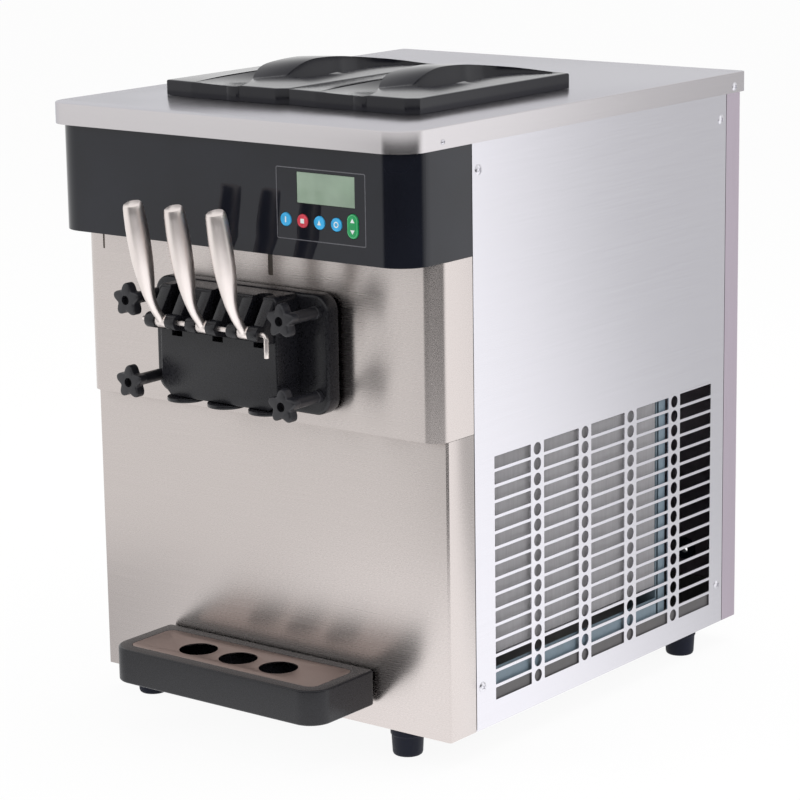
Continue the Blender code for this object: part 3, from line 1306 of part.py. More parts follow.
def fan_shroud():
    """A plate with a round duct behind the condenser, and a bridge that carries the fan's motor."""
    half = CONDENSER_LENGTH / 2 - FRAME_LEG
    rise = CONDENSER_HEIGHT / 2
    outline = rounded_rectangle((FAN_Y - half, FAN_Z - rise), (FAN_Y + half, FAN_Z + rise), [0] * 4)
    duct = circle((FAN_Y, FAN_Z), FAN_RADIUS + FAN_CLEAR, PULLEY_SIDES)
    shroud = extruded("shroud", [outline, duct], SHROUD_IN, SHROUD_IN + SHROUD_SHEET, "X")
    back = FAN_MOTOR_FACE - FAN_MOTOR_LENGTH
    width = BRIDGE_WIDTH / 2
    arm = FAN_RADIUS + 2 * FAN_CLEAR
    join(shroud, box("bridge", (back, FAN_Y - arm, FAN_Z - width),
                     (back + BRIDGE_SHEET, FAN_Y + arm, FAN_Z + width)))
    for name, y in {"front": FAN_Y - arm, "rear": FAN_Y + arm - BRIDGE_SHEET}.items():
        join(shroud, box(f"bridge_{name}", (back, y, FAN_Z - width),
                         (SHROUD_IN + SHROUD_SHEET / 2, y + BRIDGE_SHEET, FAN_Z + width)))
    join(shroud, rod("fan_motor", FAN_MOTOR_RADIUS, (back + BRIDGE_SHEET / 2, FAN_Y, FAN_Z),
                     (FAN_MOTOR_FACE, FAN_Y, FAN_Z)))
    cut(shroud, rod("fan_bearing", FAN_STUB_RADIUS + GAP, (FAN_MOTOR_FACE - FAN_STUB - GAP, FAN_Y, FAN_Z),
                    (FAN_MOTOR_FACE + CUT_MARGIN, FAN_Y, FAN_Z), STEM_SIDES))
    piece(shroud, "fan_shroud", ZINC_STEEL)


def fan():
    """A hub with pitched blades, turning about X on the motor's stub."""
    hub = rod("hub", FAN_HUB_RADIUS, (-FAN_HUB_LENGTH, 0, 0), (0, 0, 0))
    join(hub, rod("stub", FAN_STUB_RADIUS - GAP, (-FAN_HUB_LENGTH - FAN_STUB, 0, 0),
                  (-FAN_HUB_LENGTH / 2, 0, 0), STEM_SIDES))
    for i in range(FAN_BLADES):
        blade = box(f"blade_{i}", (-BLADE_SHEET / 2, -BLADE_CHORD / 2, FAN_HUB_RADIUS / 2),
                    (BLADE_SHEET / 2, BLADE_CHORD / 2, FAN_RADIUS))
        pitch = Matrix.Rotation(math.radians(BLADE_PITCH), 4, "Z")
        turn = Matrix.Rotation(2 * math.pi * i / FAN_BLADES, 4, "X")
        blade.data.transform(Matrix.Translation((-FAN_HUB_LENGTH / 2, 0, 0)) @ turn @ pitch)
        join(hub, blade)
    piece(hub, "fan", MATTE_BLACK, (FAN_FACE, FAN_Y, FAN_Z))


def compressor():
    """A hermetic can with domed ends on a plate with four rubber mounts."""
    foot = PAN_FLOOR + GAP
    y = BODY_DEPTH - COMPRESSOR_SETBACK
    low = foot + COMPRESSOR_BASE
    high = low + COMPRESSOR_HEIGHT
    dome = arc((0, 0), 1, 90, 0, SMALL_STEPS + 1)
    upper = [(COMPRESSOR_RADIUS * u, high - COMPRESSOR_DOME * (1 - v)) for u, v in dome]
    lower = [(COMPRESSOR_RADIUS * u, low + COMPRESSOR_DOME * (1 - v) / 2) for u, v in reversed(dome)]
    can = turned("can", upper + lower, ROUND_SIDES, "Z", (COMPRESSOR_X, y, 0))
    half = MOUNT_SPREAD / 2 + MOUNT_RADIUS + MOUNT_BORDER
    plate_low = low + MOUNT_PLATE
    join(can, box("mount_plate", (COMPRESSOR_X - half, y - half, plate_low),
                  (COMPRESSOR_X + half, y + half, plate_low + MOUNT_PLATE)))
    for name, (u, v) in {"a": (-1, -1), "b": (1, -1), "c": (1, 1), "d": (-1, 1)}.items():
        x_mount, y_mount = COMPRESSOR_X + u * MOUNT_SPREAD / 2, y + v * MOUNT_SPREAD / 2
        join(can, rod(f"mount_{name}", MOUNT_RADIUS, (x_mount, y_mount, foot),
                      (x_mount, y_mount, plate_low + MOUNT_PLATE / 2), STEM_SIDES))
    piece(can, "compressor", CAST_PAINT)


def gearbox():
    """A case behind the cylinders, with two output sockets in front and the input behind."""
    half_width, half_height = GEARBOX_WIDTH / 2, GEARBOX_HEIGHT / 2
    case = box("case", (-half_width, GEARBOX_FRONT, HEAD_MIDDLE - half_height),
               (half_width, GEARBOX_BACK, HEAD_MIDDLE + half_height))
    bevel = case.modifiers.new("round", "BEVEL")
    bevel.width = GEARBOX_BEVEL
    settled(case)
    middle = (GEARBOX_FRONT + GEARBOX_BACK) / 2
    half_foot = GEARBOX_LENGTH / 2 - GEARBOX_BEVEL
    join(case, box("pedestal", (-PEDESTAL_WIDTH / 2, middle - half_foot, DECK_TOP + GAP),
                   (PEDESTAL_WIDTH / 2, middle + half_foot, HEAD_MIDDLE)))
    radius = SHAFT_RADIUS + SHAFT_CLEAR
    for side, sign in SIDES.items():
        x = sign * CYLINDER_SPACING / 2
        cut(case, rod(f"socket_{side}", radius, (x, GEARBOX_FRONT - CUT_MARGIN, HEAD_MIDDLE),
                      (x, GEARBOX_FRONT + SOCKET_DEPTH, HEAD_MIDDLE)))
    cut(case, rod("input", radius, (0, GEARBOX_BACK - SOCKET_DEPTH, HEAD_MIDDLE),
                  (0, GEARBOX_BACK + CUT_MARGIN, HEAD_MIDDLE)))
    piece(case, "gearbox", CAST_PAINT)


def drive_motor():
    back = GEARBOX_BACK
    front = back - MOTOR_LENGTH
    motor = rod("motor", MOTOR_RADIUS, (0, front, MOTOR_Z), (0, back, MOTOR_Z), PULLEY_SIDES)
    bevel = motor.modifiers.new("round", "BEVEL")
    bevel.width = GEARBOX_BEVEL
    bevel.limit_method = "ANGLE"
    settled(motor)
    half = MOTOR_FOOT_WIDTH / 2
    join(motor, box("motor_foot", (-half, front + MOTOR_FOOT_INSET, PAN_FLOOR + GAP),
                    (half, back - MOTOR_FOOT_INSET, MOTOR_Z)))
    cut(motor, rod("motor_bearing", SHAFT_RADIUS + SHAFT_CLEAR, (0, back - SOCKET_DEPTH, MOTOR_Z),
                   (0, back + CUT_MARGIN, MOTOR_Z)))
    piece(motor, "drive_motor", CAST_PAINT)


def pulley(name, radius, level):
    """A flanged pulley with a stub shaft towards the front, about its own axis."""
    groove = radius - BELT_THICKNESS
    end = -PULLEY_BACKSET - SOCKET_DEPTH + SHAFT_CLEAR
    wheel = turned(name, [
        (0, PULLEY_WIDTH),
        (radius, PULLEY_WIDTH),
        (radius, PULLEY_WIDTH - PULLEY_CHEEK),
        (groove, PULLEY_WIDTH - PULLEY_CHEEK),
        (groove, PULLEY_CHEEK),
        (radius, PULLEY_CHEEK),
        (radius, 0),
        (SHAFT_RADIUS, 0),
        (SHAFT_RADIUS, end),
        (0, end),
    ], PULLEY_SIDES, "Y")
    piece(wheel, name, ALUMINIUM, (0, PULLEY_FRONT, level))


def belt_loop(grow):
    """The outline round both pulleys, at the groove radii plus a given amount."""
    large = GEARBOX_PULLEY_RADIUS - BELT_THICKNESS + grow
    small = MOTOR_PULLEY_RADIUS - BELT_THICKNESS + grow
    lean = math.degrees(math.asin((large - small) / MOTOR_DROP))
    upper = arc((0, HEAD_MIDDLE), large, -lean, 180 + lean, BELT_STEPS)
    lower = arc((0, MOTOR_Z), small, 180 + lean, 360 - lean, BELT_STEPS)
    return upper + lower


def drive_belt():
    low = PULLEY_FRONT + PULLEY_CHEEK + BELT_SIDE_GAP
    high = PULLEY_BACK - PULLEY_CHEEK - BELT_SIDE_GAP
    loops = [belt_loop(BELT_THICKNESS), belt_loop(BELT_SIDE_GAP)]
    piece(extruded("belt", loops, low, high, "Y"), "drive_belt", RUBBER)


def centre_footprint(handles):
    """Sets the origin midway between the reach of the handles and the back of the cover."""
    front = PIVOT_Y + min(vertex.co.y for vertex in handles[0].data.vertices)
    back = BODY_DEPTH + COVER_OVERHANG
    ASSEMBLY.location.y = -round((front + back) / 2, 4)


def build():
    feet()
    base_pan()
    inner_frame()
    lower_front_panel()
    mid_front_panel()
    fascia()
    top_cover()
    right_side_panel()
    left_side_panel()
    rear_panel()
    cord_gland()
    hoppers()
    hopper_lids()
    feed_tubes()
    freezing_cylinders()
    beaters()
    cylinder_plate()
    head_gasket()
    dispensing_head()
    draw_pistons()
    star_nozzles()
    pivot_pin()
    handles = draw_handles()
    hand_screws()
    lcd_window()
    keys()
    control_board()
    drip_tray()
    cup_plate()
    tray_bracket()
    condenser()
    fan_shroud()
    fan()
    compressor()
    gearbox()
    drive_motor()
    pulley("gearbox_pulley", GEARBOX_PULLEY_RADIUS, HEAD_MIDDLE)
    pulley("motor_pulley", MOTOR_PULLEY_RADIUS, MOTOR_Z)
    drive_belt()
    centre_footprint(handles)


build()
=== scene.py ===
"""Looks for the countertop soft serve machine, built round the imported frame."""

import math

import bmesh
import bpy
from mathutils import Matrix, Vector

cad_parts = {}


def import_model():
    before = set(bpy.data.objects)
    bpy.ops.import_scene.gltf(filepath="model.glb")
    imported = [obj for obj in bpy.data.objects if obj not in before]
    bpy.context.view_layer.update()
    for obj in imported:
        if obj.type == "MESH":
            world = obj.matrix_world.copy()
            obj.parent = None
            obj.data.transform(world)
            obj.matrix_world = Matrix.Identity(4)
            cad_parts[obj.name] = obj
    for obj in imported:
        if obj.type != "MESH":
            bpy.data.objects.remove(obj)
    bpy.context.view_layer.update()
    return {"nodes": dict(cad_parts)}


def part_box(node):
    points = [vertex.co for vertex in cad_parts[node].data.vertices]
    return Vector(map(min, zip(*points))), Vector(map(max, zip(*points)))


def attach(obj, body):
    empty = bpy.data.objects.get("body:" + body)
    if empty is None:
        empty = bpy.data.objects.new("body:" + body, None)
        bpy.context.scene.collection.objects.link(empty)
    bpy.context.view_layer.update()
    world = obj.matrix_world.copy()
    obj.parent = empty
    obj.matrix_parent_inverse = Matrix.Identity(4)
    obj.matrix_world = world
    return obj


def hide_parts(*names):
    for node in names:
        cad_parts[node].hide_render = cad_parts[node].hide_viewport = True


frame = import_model()
NODES = frame["nodes"]

# Planes and sizes that the dressed pieces share with the frame
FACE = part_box("lower_front_panel")[0].y
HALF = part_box("right_side_panel")[1].x
SHEET = 0.0015
SEAM_Y = FACE + 0.050
FOOT_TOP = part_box("lower_front_panel")[0].z
MID_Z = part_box("mid_front_panel")[0].z
FASCIA_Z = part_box("fascia")[0].z
PANEL_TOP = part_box("fascia")[1].z
OUTLETS = {"left": -0.0615, "centre": 0.0, "right": 0.0615}
SIDES = {"left": -1, "right": 1}


# Materials

EVEN = (1, 1, 1)
GRAIN_X = (0.012, 1, 1)
GRAIN_Y = (1, 0.012, 1)
GRAIN_Z = (1, 1, 0.02)


def shader_of(name):
    material = bpy.data.materials.new(name)
    material.use_nodes = True
    return material, material.node_tree.nodes, material.node_tree.links, \
        material.node_tree.nodes["Principled BSDF"]


def surface(name, colour, rough, metallic=0.0, vary=0.06, scale=40.0, stretch=EVEN, detail=4.0,
            rough_vary=0.06, bump=0.0, bump_scale=None, **sockets):
    """A finish whose colour, gloss and relief follow a noise, stretched along a grain."""
    material, nodes, links, shader = shader_of(name)
    for socket, value in sockets.items():
        shader.inputs[socket.replace("_", " ")].default_value = value
    shader.inputs["Metallic"].default_value = metallic
    coord = nodes.new("ShaderNodeTexCoord")
    mapping = nodes.new("ShaderNodeMapping")
    mapping.inputs["Scale"].default_value = stretch
    links.new(coord.outputs["Object"], mapping.inputs["Vector"])
    noise = nodes.new("ShaderNodeTexNoise")
    noise.inputs["Scale"].default_value = scale
    noise.inputs["Detail"].default_value = detail
    links.new(mapping.outputs["Vector"], noise.inputs["Vector"])
    ramp = nodes.new("ShaderNodeValToRGB")
    ramp.color_ramp.elements[0].position = 0.3
    ramp.color_ramp.elements[1].position = 0.7
    ramp.color_ramp.elements[0].color = (*[c * (1 - vary) for c in colour], 1)
    ramp.color_ramp.elements[1].color = (*[min(c * (1 + vary), 1) for c in colour], 1)
    links.new(noise.outputs["Fac"], ramp.inputs["Fac"])
    links.new(ramp.outputs["Color"], shader.inputs["Base Color"])
    spread = nodes.new("ShaderNodeMapRange")
    spread.inputs["From Min"].default_value = 0.3
    spread.inputs["From Max"].default_value = 0.7
    spread.inputs["To Min"].default_value = max(rough - rough_vary, 0.02)
    spread.inputs["To Max"].default_value = rough + rough_vary
    links.new(noise.outputs["Fac"], spread.inputs["Value"])
    links.new(spread.outputs["Result"], shader.inputs["Roughness"])
    if "Anisotropic" in sockets:
        grain = nodes.new("ShaderNodeTangent")
        grain.direction_type = "RADIAL"
        grain.axis = "Z"
        links.new(grain.outputs["Tangent"], shader.inputs["Tangent"])
    if bump:
        relief = noise
        if bump_scale:
            relief = nodes.new("ShaderNodeTexNoise")
            relief.inputs["Scale"].default_value = bump_scale
            relief.inputs["Detail"].default_value = detail
            links.new(mapping.outputs["Vector"], relief.inputs["Vector"])
        bumps = nodes.new("ShaderNodeBump")
        bumps.inputs["Strength"].default_value = bump
        bumps.inputs["Distance"].default_value = 0.0002
        links.new(relief.outputs["Fac"], bumps.inputs["Height"])
        links.new(bumps.outputs["Normal"], shader.inputs["Normal"])
    return material


BRUSHED = {"Anisotropic": 0.8, "Anisotropic_Rotation": 0.25}
# One stainless steel in lit and shaded copies: painted shade makes the front sheets' colour darker and
# warmer, painted light makes the side sheets' colour lighter and bluer, and the top lies between; the side
# copy also serves the screws and inner steel parts.
FRONT_STEEL = surface("front_steel", (0.585, 0.535, 0.515), 0.27, 1.0, 0.02, 900, GRAIN_X, 3, 0.015,
                      **BRUSHED)
SIDE_STEEL = surface("side_steel", (0.68, 0.67, 0.71), 0.22, 1.0, 0.015, 900, GRAIN_Y, 3, 0.01, **BRUSHED)
TOP_STEEL = surface("top_steel", (0.60, 0.575, 0.585), 0.24, 1.0, 0.015, 900, GRAIN_Y, 3, 0.01,
                    Specular_Tint=(0.74, 0.75, 0.79, 1))
REAR_STEEL = surface("rear_steel", (0.54, 0.47, 0.54), 0.30, 1.0, 0.02, 900, GRAIN_Z, 3, 0.015)
HANDLE_METAL = surface("handle_metal", (0.84, 0.77, 0.74), 0.36, 1.0, 0.02, 500, GRAIN_Z, 3, 0.02)
ZINC = surface("zinc_plate", (0.45, 0.46, 0.48), 0.42, 1.0, 0.18, 60, EVEN, 2, 0.10, 0.05)
FIN_PALE = surface("fin_pale", (0.62, 0.61, 0.63), 0.50, 0.0, 0.06, 300, (1, 1, 0.05), 3, 0.06)
PAN_GREY = surface("pan_grey", (0.085, 0.080, 0.082), 0.50, 0.0, 0.15, 60, EVEN, 3, 0.08, 0.05)
FIN_METAL = surface("fin_metal", (0.42, 0.42, 0.44), 0.45, 1.0, 0.12, 300, (1, 1, 0.05), 3, 0.08, 0.05)
CAST = surface("cast_paint", (0.06, 0.075, 0.095), 0.50, 0.0, 0.15, 250, EVEN, 4, 0.08, 0.25)
FASCIA_BLACK = surface("fascia_black", (0.008, 0.009, 0.014), 0.045, 0.0, 0.20, 12, EVEN, 2, 0.01,
                       Specular_IOR_Level=0.38)
HEAD_BLACK = surface("head_black", (0.010, 0.010, 0.013), 0.30, 0.0, 0.25, 350, EVEN, 5, 0.07, 0.12,
                     Specular_IOR_Level=0.38)
KNOB_BLACK = surface("knob_black", (0.014, 0.014, 0.018), 0.42, 0.0, 0.25, 500, EVEN, 5, 0.08, 0.25)
LID_BLACK = surface("lid_black", (0.006, 0.006, 0.010), 0.14, 0.0, 0.15, 600, EVEN, 5, 0.03,
                    Specular_IOR_Level=0.36)
TRAY_BLACK = surface("tray_black", (0.011, 0.011, 0.014), 0.28, 0.0, 0.22, 420, EVEN, 5, 0.07, 0.15,
                     Specular_IOR_Level=0.36)
RUBBER = surface("rubber", (0.005, 0.007, 0.018), 0.60, 0.0, 0.25, 700, EVEN, 5, 0.10, 0.35,
                 Specular_IOR_Level=0.22)
WHITE_PLASTIC = surface("white_plastic", (0.78, 0.78, 0.75), 0.40, 0.0, 0.04, 120, EVEN, 4, 0.06, 0.05)
BOARD = surface("board_green", (0.02, 0.16, 0.06), 0.45, 0.0, 0.30, 180, EVEN, 2, 0.10, 0.05)
PLATE_STEEL = surface("plate_steel", (0.43, 0.37, 0.35), 0.30, 1.0, 0.03, 900, GRAIN_X, 3, 0.02,
                      Specular_Tint=(0.68, 0.62, 0.60, 1))
FRAME_GREY = surface("frame_grey", (0.105, 0.105, 0.120), 0.30, 0.0, 0.10, 200, EVEN, 3, 0.05, 0.03)
FRAME_TEAL = surface("frame_teal", (0.14, 0.19, 0.23), 0.50, 0.0, 0.10, 90, EVEN, 3, 0.08, 0.05)
COPPER = surface("copper_tube", (0.50, 0.24, 0.14), 0.35, 1.0, 0.15, 120, EVEN, 3, 0.08, 0.05)
LCD_GREEN = surface("lcd_green", (0.27, 0.36, 0.28), 0.18, 0.0, 0.10, 28, EVEN, 2, 0.04)
KEY_BLUE = surface("key_blue_cap", (0.04, 0.42, 0.80), 0.22, 0.0, 0.12, 160, EVEN, 3, 0.06, 0.04)
KEY_RED = surface("key_red_cap", (0.62, 0.05, 0.08), 0.22, 0.0, 0.12, 160, EVEN, 3, 0.06, 0.04)
KEY_GREEN = surface("key_green_cap", (0.005, 0.30, 0.09), 0.24, 0.0, 0.12, 160, EVEN, 3, 0.06, 0.04)
KEY_LIME = surface("key_lime_line", (0.10, 0.50, 0.22), 0.30, 0.0, 0.10, 160, EVEN, 3, 0.06, 0.04)
MARK_WHITE = surface("mark_white", (0.72, 0.80, 0.80), 0.35, 0.0, 0.05, 160, EVEN, 3, 0.06, 0.03)
# Painted shade: the dark brown of the sheet set behind each mid panel slot, standing in for the shade inside
# it.
SLOT_SHADE_BROWN = surface("slot_shade_brown", (0.085, 0.066, 0.052), 0.50, 0.0, 0.20, 200, EVEN, 3, 0.05, 0.05)


# Mesh tools

def link(name, mesh):
    obj = bpy.data.objects.new(name, mesh)
    bpy.context.scene.collection.objects.link(obj)
    return obj


def from_bmesh(name, form):
    bmesh.ops.recalc_face_normals(form, faces=form.faces)
    mesh = bpy.data.meshes.new(name)
    form.to_mesh(mesh)
    form.free()
    return link(name, mesh)


def applied(obj):
    """The object with its modifiers worked into its mesh."""
    graph = bpy.context.evaluated_depsgraph_get()
    mesh = bpy.data.meshes.new_from_object(obj.evaluated_get(graph))
    used = [m.object for m in obj.modifiers if m.type == "BOOLEAN"]
    obj.modifiers.clear()
    obj.data = mesh
    for other in used:
        bpy.data.objects.remove(other)
    return obj


def boolean(target, operation, *others):
    for other in others:
        modifier = target.modifiers.new(other.name, "BOOLEAN")
        modifier.operation = operation
        modifier.object = other
    return applied(target)


def cut(target, *others):
    return boolean(target, "DIFFERENCE", *others)


def join(target, *others):
    return boolean(target, "UNION", *others)


def bevelled(obj, width, segments=3, angle=40):
    modifier = obj.modifiers.new("edges", "BEVEL")
    modifier.width = width
    modifier.segments = segments
    modifier.limit_method = "ANGLE"
    modifier.angle_limit = math.radians(angle)
    modifier.use_clamp_overlap = True
    return applied(obj)


def dressed(obj, name, material, body, nodes=(), smooth=38):
    """The finished piece: named, shaded, painted and riding on its body."""
    obj.name = name
    obj.data.name = name
    obj.data.materials.clear()
    obj.data.materials.append(material)
    obj.data.shade_smooth()
    obj.data.set_sharp_from_angle(angle=math.radians(smooth))
    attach(obj, body)
    if nodes:
        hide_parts(*nodes)
    return obj


PLANES = {
    "X": Matrix(((0, 0, 1, 0), (1, 0, 0, 0), (0, 1, 0, 0), (0, 0, 0, 1))),
    "Y": Matrix(((1, 0, 0, 0), (0, 0, -1, 0), (0, 1, 0, 0), (0, 0, 0, 1))),
    "Z": Matrix.Identity(4),
}
TURNING = {
    "X": Matrix.Rotation(math.pi / 2, 4, "Y"),
    "Y": Matrix.Rotation(-math.pi / 2, 4, "X"),
    "Z": Matrix.Identity(4),
}


def prism(name, loops, low, high, normal="Z"):
    """Outlines with holes given thickness: (x, y) along Z, (y, z) along X or (x, z) along Y."""
    curve = bpy.data.curves.new(name, "CURVE")
    curve.dimensions = "2D"
    curve.fill_mode = "BOTH"
    curve.extrude = (high - low) / 2
    for loop in loops:
        spline = curve.splines.new("POLY")
        spline.points.add(len(loop) - 1)
        for point, (u, v) in zip(spline.points, loop):
            point.co = (u, v, 0, 1)
        spline.use_cyclic_u = True
    middle = (low + high) / 2
    if normal == "Y":
        middle = -middle
    source = link(name, curve)
    graph = bpy.context.evaluated_depsgraph_get()
    mesh = bpy.data.meshes.new_from_object(source.evaluated_get(graph))
    bpy.data.objects.remove(source)
    form = bmesh.new()
    form.from_mesh(mesh)
    bpy.data.meshes.remove(mesh)
    bmesh.ops.remove_doubles(form, verts=form.verts, dist=0.000001)
    bmesh.ops.dissolve_limit(form, angle_limit=0.01, verts=form.verts, edges=form.edges)
    bmesh.ops.transform(form, matrix=PLANES[normal] @ Matrix.Translation((0, 0, middle)), verts=form.verts)
    return from_bmesh(name, form)


def block(name, low, high):
    form = bmesh.new()
    bmesh.ops.create_cube(form, size=1)
    bmesh.ops.scale(form, vec=[b - a for a, b in zip(low, high)], verts=form.verts)
    bmesh.ops.translate(form, vec=[(a + b) / 2 for a, b in zip(low, high)], verts=form.verts)
    return from_bmesh(name, form)


def lathe(name, profile, sides, axis="Z", centre=(0, 0, 0)):
    """A profile of (radius, height) points turned about an axis; a ring where it never meets the axis."""
    form = bmesh.new()
    rings = []
    for radius, height in profile:
        if radius < 1e-9:
            rings.append([form.verts.new((0, 0, height))])
        else:
            rings.append([form.verts.new((radius * math.cos(2 * math.pi * i / sides),
                                          radius * math.sin(2 * math.pi * i / sides), height))
                          for i in range(sides)])
    pairs = list(zip(rings, rings[1:]))
    if profile[0][0] > 1e-9:
        pairs.append((rings[-1], rings[0]))
    for upper, lower in pairs:
        for i in range(sides):
            j = (i + 1) % sides
            if len(upper) == 1 and len(lower) == 1:
                continue
            if len(upper) == 1:
                form.faces.new((upper[0], lower[i], lower[j]))
            elif len(lower) == 1:
                form.faces.new((upper[i], lower[0], upper[j]))
            else:
                form.faces.new((upper[i], lower[i], lower[j], upper[j]))
    bmesh.ops.transform(form, matrix=Matrix.Translation(centre) @ TURNING[axis], verts=form.verts)
    return from_bmesh(name, form)


ROUND_SHARE = 0.293


def rod(name, radius, start, end, sides=32, edge=0.0):
    """A cylinder between two points, its ends rounded by the given amount."""
    start, end = Vector(start), Vector(end)
    length = (end - start).length
    if edge:
        k = edge * ROUND_SHARE
        profile = [(0, length), (radius - edge, length), (radius - k, length - k), (radius, length - edge),
                   (radius, edge), (radius - k, k), (radius - edge, 0), (0, 0)]
    else:
        profile = [(0, length), (radius, length), (radius, 0), (0, 0)]
    obj = lathe(name, profile, sides)
    turn = (end - start).to_track_quat("Z", "Y").to_matrix().to_4x4()
    obj.data.transform(Matrix.Translation(start) @ turn)
    return obj


def tube(name, points, radii, sides=20):
    """A round tube along points with a radius at each, closed at both ends."""
    points = [Vector(p) for p in points]
    form = bmesh.new()
    rings = []
    across = None
    for i, point in enumerate(points):
        ahead = points[min(i + 1, len(points) - 1)] - points[max(i - 1, 0)]
        ahead.normalize()
        if across is None:
            across = ahead.orthogonal().normalized()
        across = (across - ahead * across.dot(ahead)).normalized()
        other = ahead.cross(across)
        rings.append([form.verts.new(point + (across * math.cos(a) + other * math.sin(a)) * radii[i])
                      for a in (2 * math.pi * k / sides for k in range(sides))])
    for lower, upper in zip(rings, rings[1:]):
        for k in range(sides):
            j = (k + 1) % sides
            form.faces.new((lower[k], lower[j], upper[j], upper[k]))
    form.faces.new(rings[0][::-1])
    form.faces.new(rings[-1])
    return from_bmesh(name, form)


def smooth_line(points, steps):
    """Points on a Catmull-Rom curve through rows of numbers."""
    rows = [points[0], *points, points[-1]]
    out = []
    for a, b, c, d in zip(rows, rows[1:], rows[2:], rows[3:]):
        for i in range(steps):
            t = i / steps
            out.append(tuple(0.5 * (2 * q + (r - p) * t + (2 * p - 5 * q + 4 * r - s) * t * t
                                    + (3 * q - p - 3 * r + s) * t ** 3) for p, q, r, s in zip(a, b, c, d)))
    out.append(tuple(points[-1]))
    return out


def arc(centre, radius, start, end, steps):
    angles = [math.radians(start + (end - start) * i / steps) for i in range(steps + 1)]
    return [(centre[0] + radius * math.cos(a), centre[1] + radius * math.sin(a)) for a in angles]


def circle(centre, radius, sides=32):
    return arc(centre, radius, 0, 360 * (sides - 1) / sides, sides - 1)


def rounded(low, high, radii, steps=8):
    """A rectangle's outline with its corner radii listed from the low corner anticlockwise."""
    (u0, v0), (u1, v1) = low, high
    corners = ((u0, v0, 1, 1), (u1, v0, -1, 1), (u1, v1, -1, -1), (u0, v1, 1, -1))
    points = []
    for quarter, ((u, v, du, dv), radius) in enumerate(zip(corners, radii)):
        if radius > 0:
            start = 180 + 90 * quarter
            points += arc((u + du * radius, v + dv * radius), radius, start, start + 90, steps)
        else:
            points.append((u, v))
    return points


# Camera, floor and light

FLOOR_WHITE = 0.93
FLAG_AWAY = 1.6
FLAG_TOP = 0.76
FLAG_LEFT = (-22, -12)
FLAG_RIGHT = (104, 88)
GLOW_FRONT = 1.36
GLOW_REAR = 0.70
GLOW_REACH = 3.5
GLOW_WALL = 2.5
GLOW_HALF = 1.5
GLOW_ACROSS = (-0.10, 0.36)

FOCAL_PIXELS = 2922.109
IMAGE_PIXELS = 800
SENSOR = 36
EYE = Vector((2.158739, -2.523345 + FACE, 1.145751))
BACK = Vector((0.598379, -0.770445, 0.219900))
RIGHT = Vector((0.791691, 0.610750, -0.014470))
UP = Vector((-0.123156, 0.182752, 0.975415))


def camera():
    data = bpy.data.cameras.new("camera")
    data.sensor_width = SENSOR
    data.lens = FOCAL_PIXELS * SENSOR / IMAGE_PIXELS
    data.clip_end = 100
    obj = bpy.data.objects.new("camera", data)
    bpy.context.scene.collection.objects.link(obj)
    turn = Matrix((RIGHT, UP, BACK)).transposed().to_4x4()
    obj.matrix_world = Matrix.Translation(EYE) @ turn
    bpy.context.scene.camera = obj


def shown(nodes, links):
    """A value of 1 for what the camera sees straight, in a gloss or through glass."""
    path = nodes.new("ShaderNodeLightPath")
    total = path.outputs["Is Camera Ray"]
    for name in ("Is Glossy Ray", "Is Transmission Ray"):
        add = nodes.new("ShaderNodeMath")
        add.operation = "ADD"
        add.use_clamp = True
        links.new(total, add.inputs[0])
        links.new(path.outputs[name], add.inputs[1])
        total = add.outputs["Value"]
    return total


def floor():
    """A pale sweep that reads as white and still takes the object's shadow."""
    form = bmesh.new()
    bmesh.ops.create_grid(form, x_segments=1, y_segments=1, size=30)
    ground = from_bmesh("floor", form)
    material, nodes, links, shader = shader_of("floor_white")
    coord = nodes.new("ShaderNodeTexCoord")
    noise = nodes.new("ShaderNodeTexNoise")
    noise.inputs["Scale"].default_value = 3
    links.new(coord.outputs["Object"], noise.inputs["Vector"])
    ramp = nodes.new("ShaderNodeValToRGB")
    ramp.color_ramp.elements[0].color = (0.88, 0.88, 0.88, 1)
    ramp.color_ramp.elements[1].color = (0.90, 0.90, 0.90, 1)
    links.new(noise.outputs["Fac"], ramp.inputs["Fac"])
    links.new(ramp.outputs["Color"], shader.inputs["Base Color"])
    shader.inputs["Roughness"].default_value = 0.8
    shader.inputs["Specular IOR Level"].default_value = 0.0
    glow = nodes.new("ShaderNodeEmission")
    glow.inputs["Strength"].default_value = 1.0
    mix = nodes.new("ShaderNodeMixShader")
    links.new(math_of(nodes, links, "MULTIPLY", shown(nodes, links), FLOOR_WHITE), mix.inputs["Fac"])
    links.new(shader.outputs["BSDF"], mix.inputs[1])
    links.new(glow.outputs["Emission"], mix.inputs[2])
    links.new(mix.outputs["Shader"], nodes["Material Output"].inputs["Surface"])
    ground.data.materials.append(material)


def ramp_of(nodes, links, value, start, end, low, high):
    """A smooth rise of a value from low to high between two bounds."""
    rise = nodes.new("ShaderNodeMapRange")
    rise.interpolation_type = "SMOOTHSTEP"
    rise.inputs["From Min"].default_value = start
    rise.inputs["From Max"].default_value = end
    rise.inputs["To Min"].default_value = low
    rise.inputs["To Max"].default_value = high
    links.new(value, rise.inputs["Value"])
    return rise.outputs["Result"]


def math_of(nodes, links, operation, first, second):
    """The outcome of a sum on two sockets or numbers."""
    node = nodes.new("ShaderNodeMath")
    node.operation = operation
    for socket, value in zip(node.inputs, (first, second)):
        if isinstance(value, (int, float)):
            socket.default_value = value
        else:
            links.new(value, socket)
    return node.outputs["Value"]


def in_gloss_only(obj):
    obj.visible_camera = obj.visible_diffuse = obj.visible_shadow = obj.visible_transmission = False


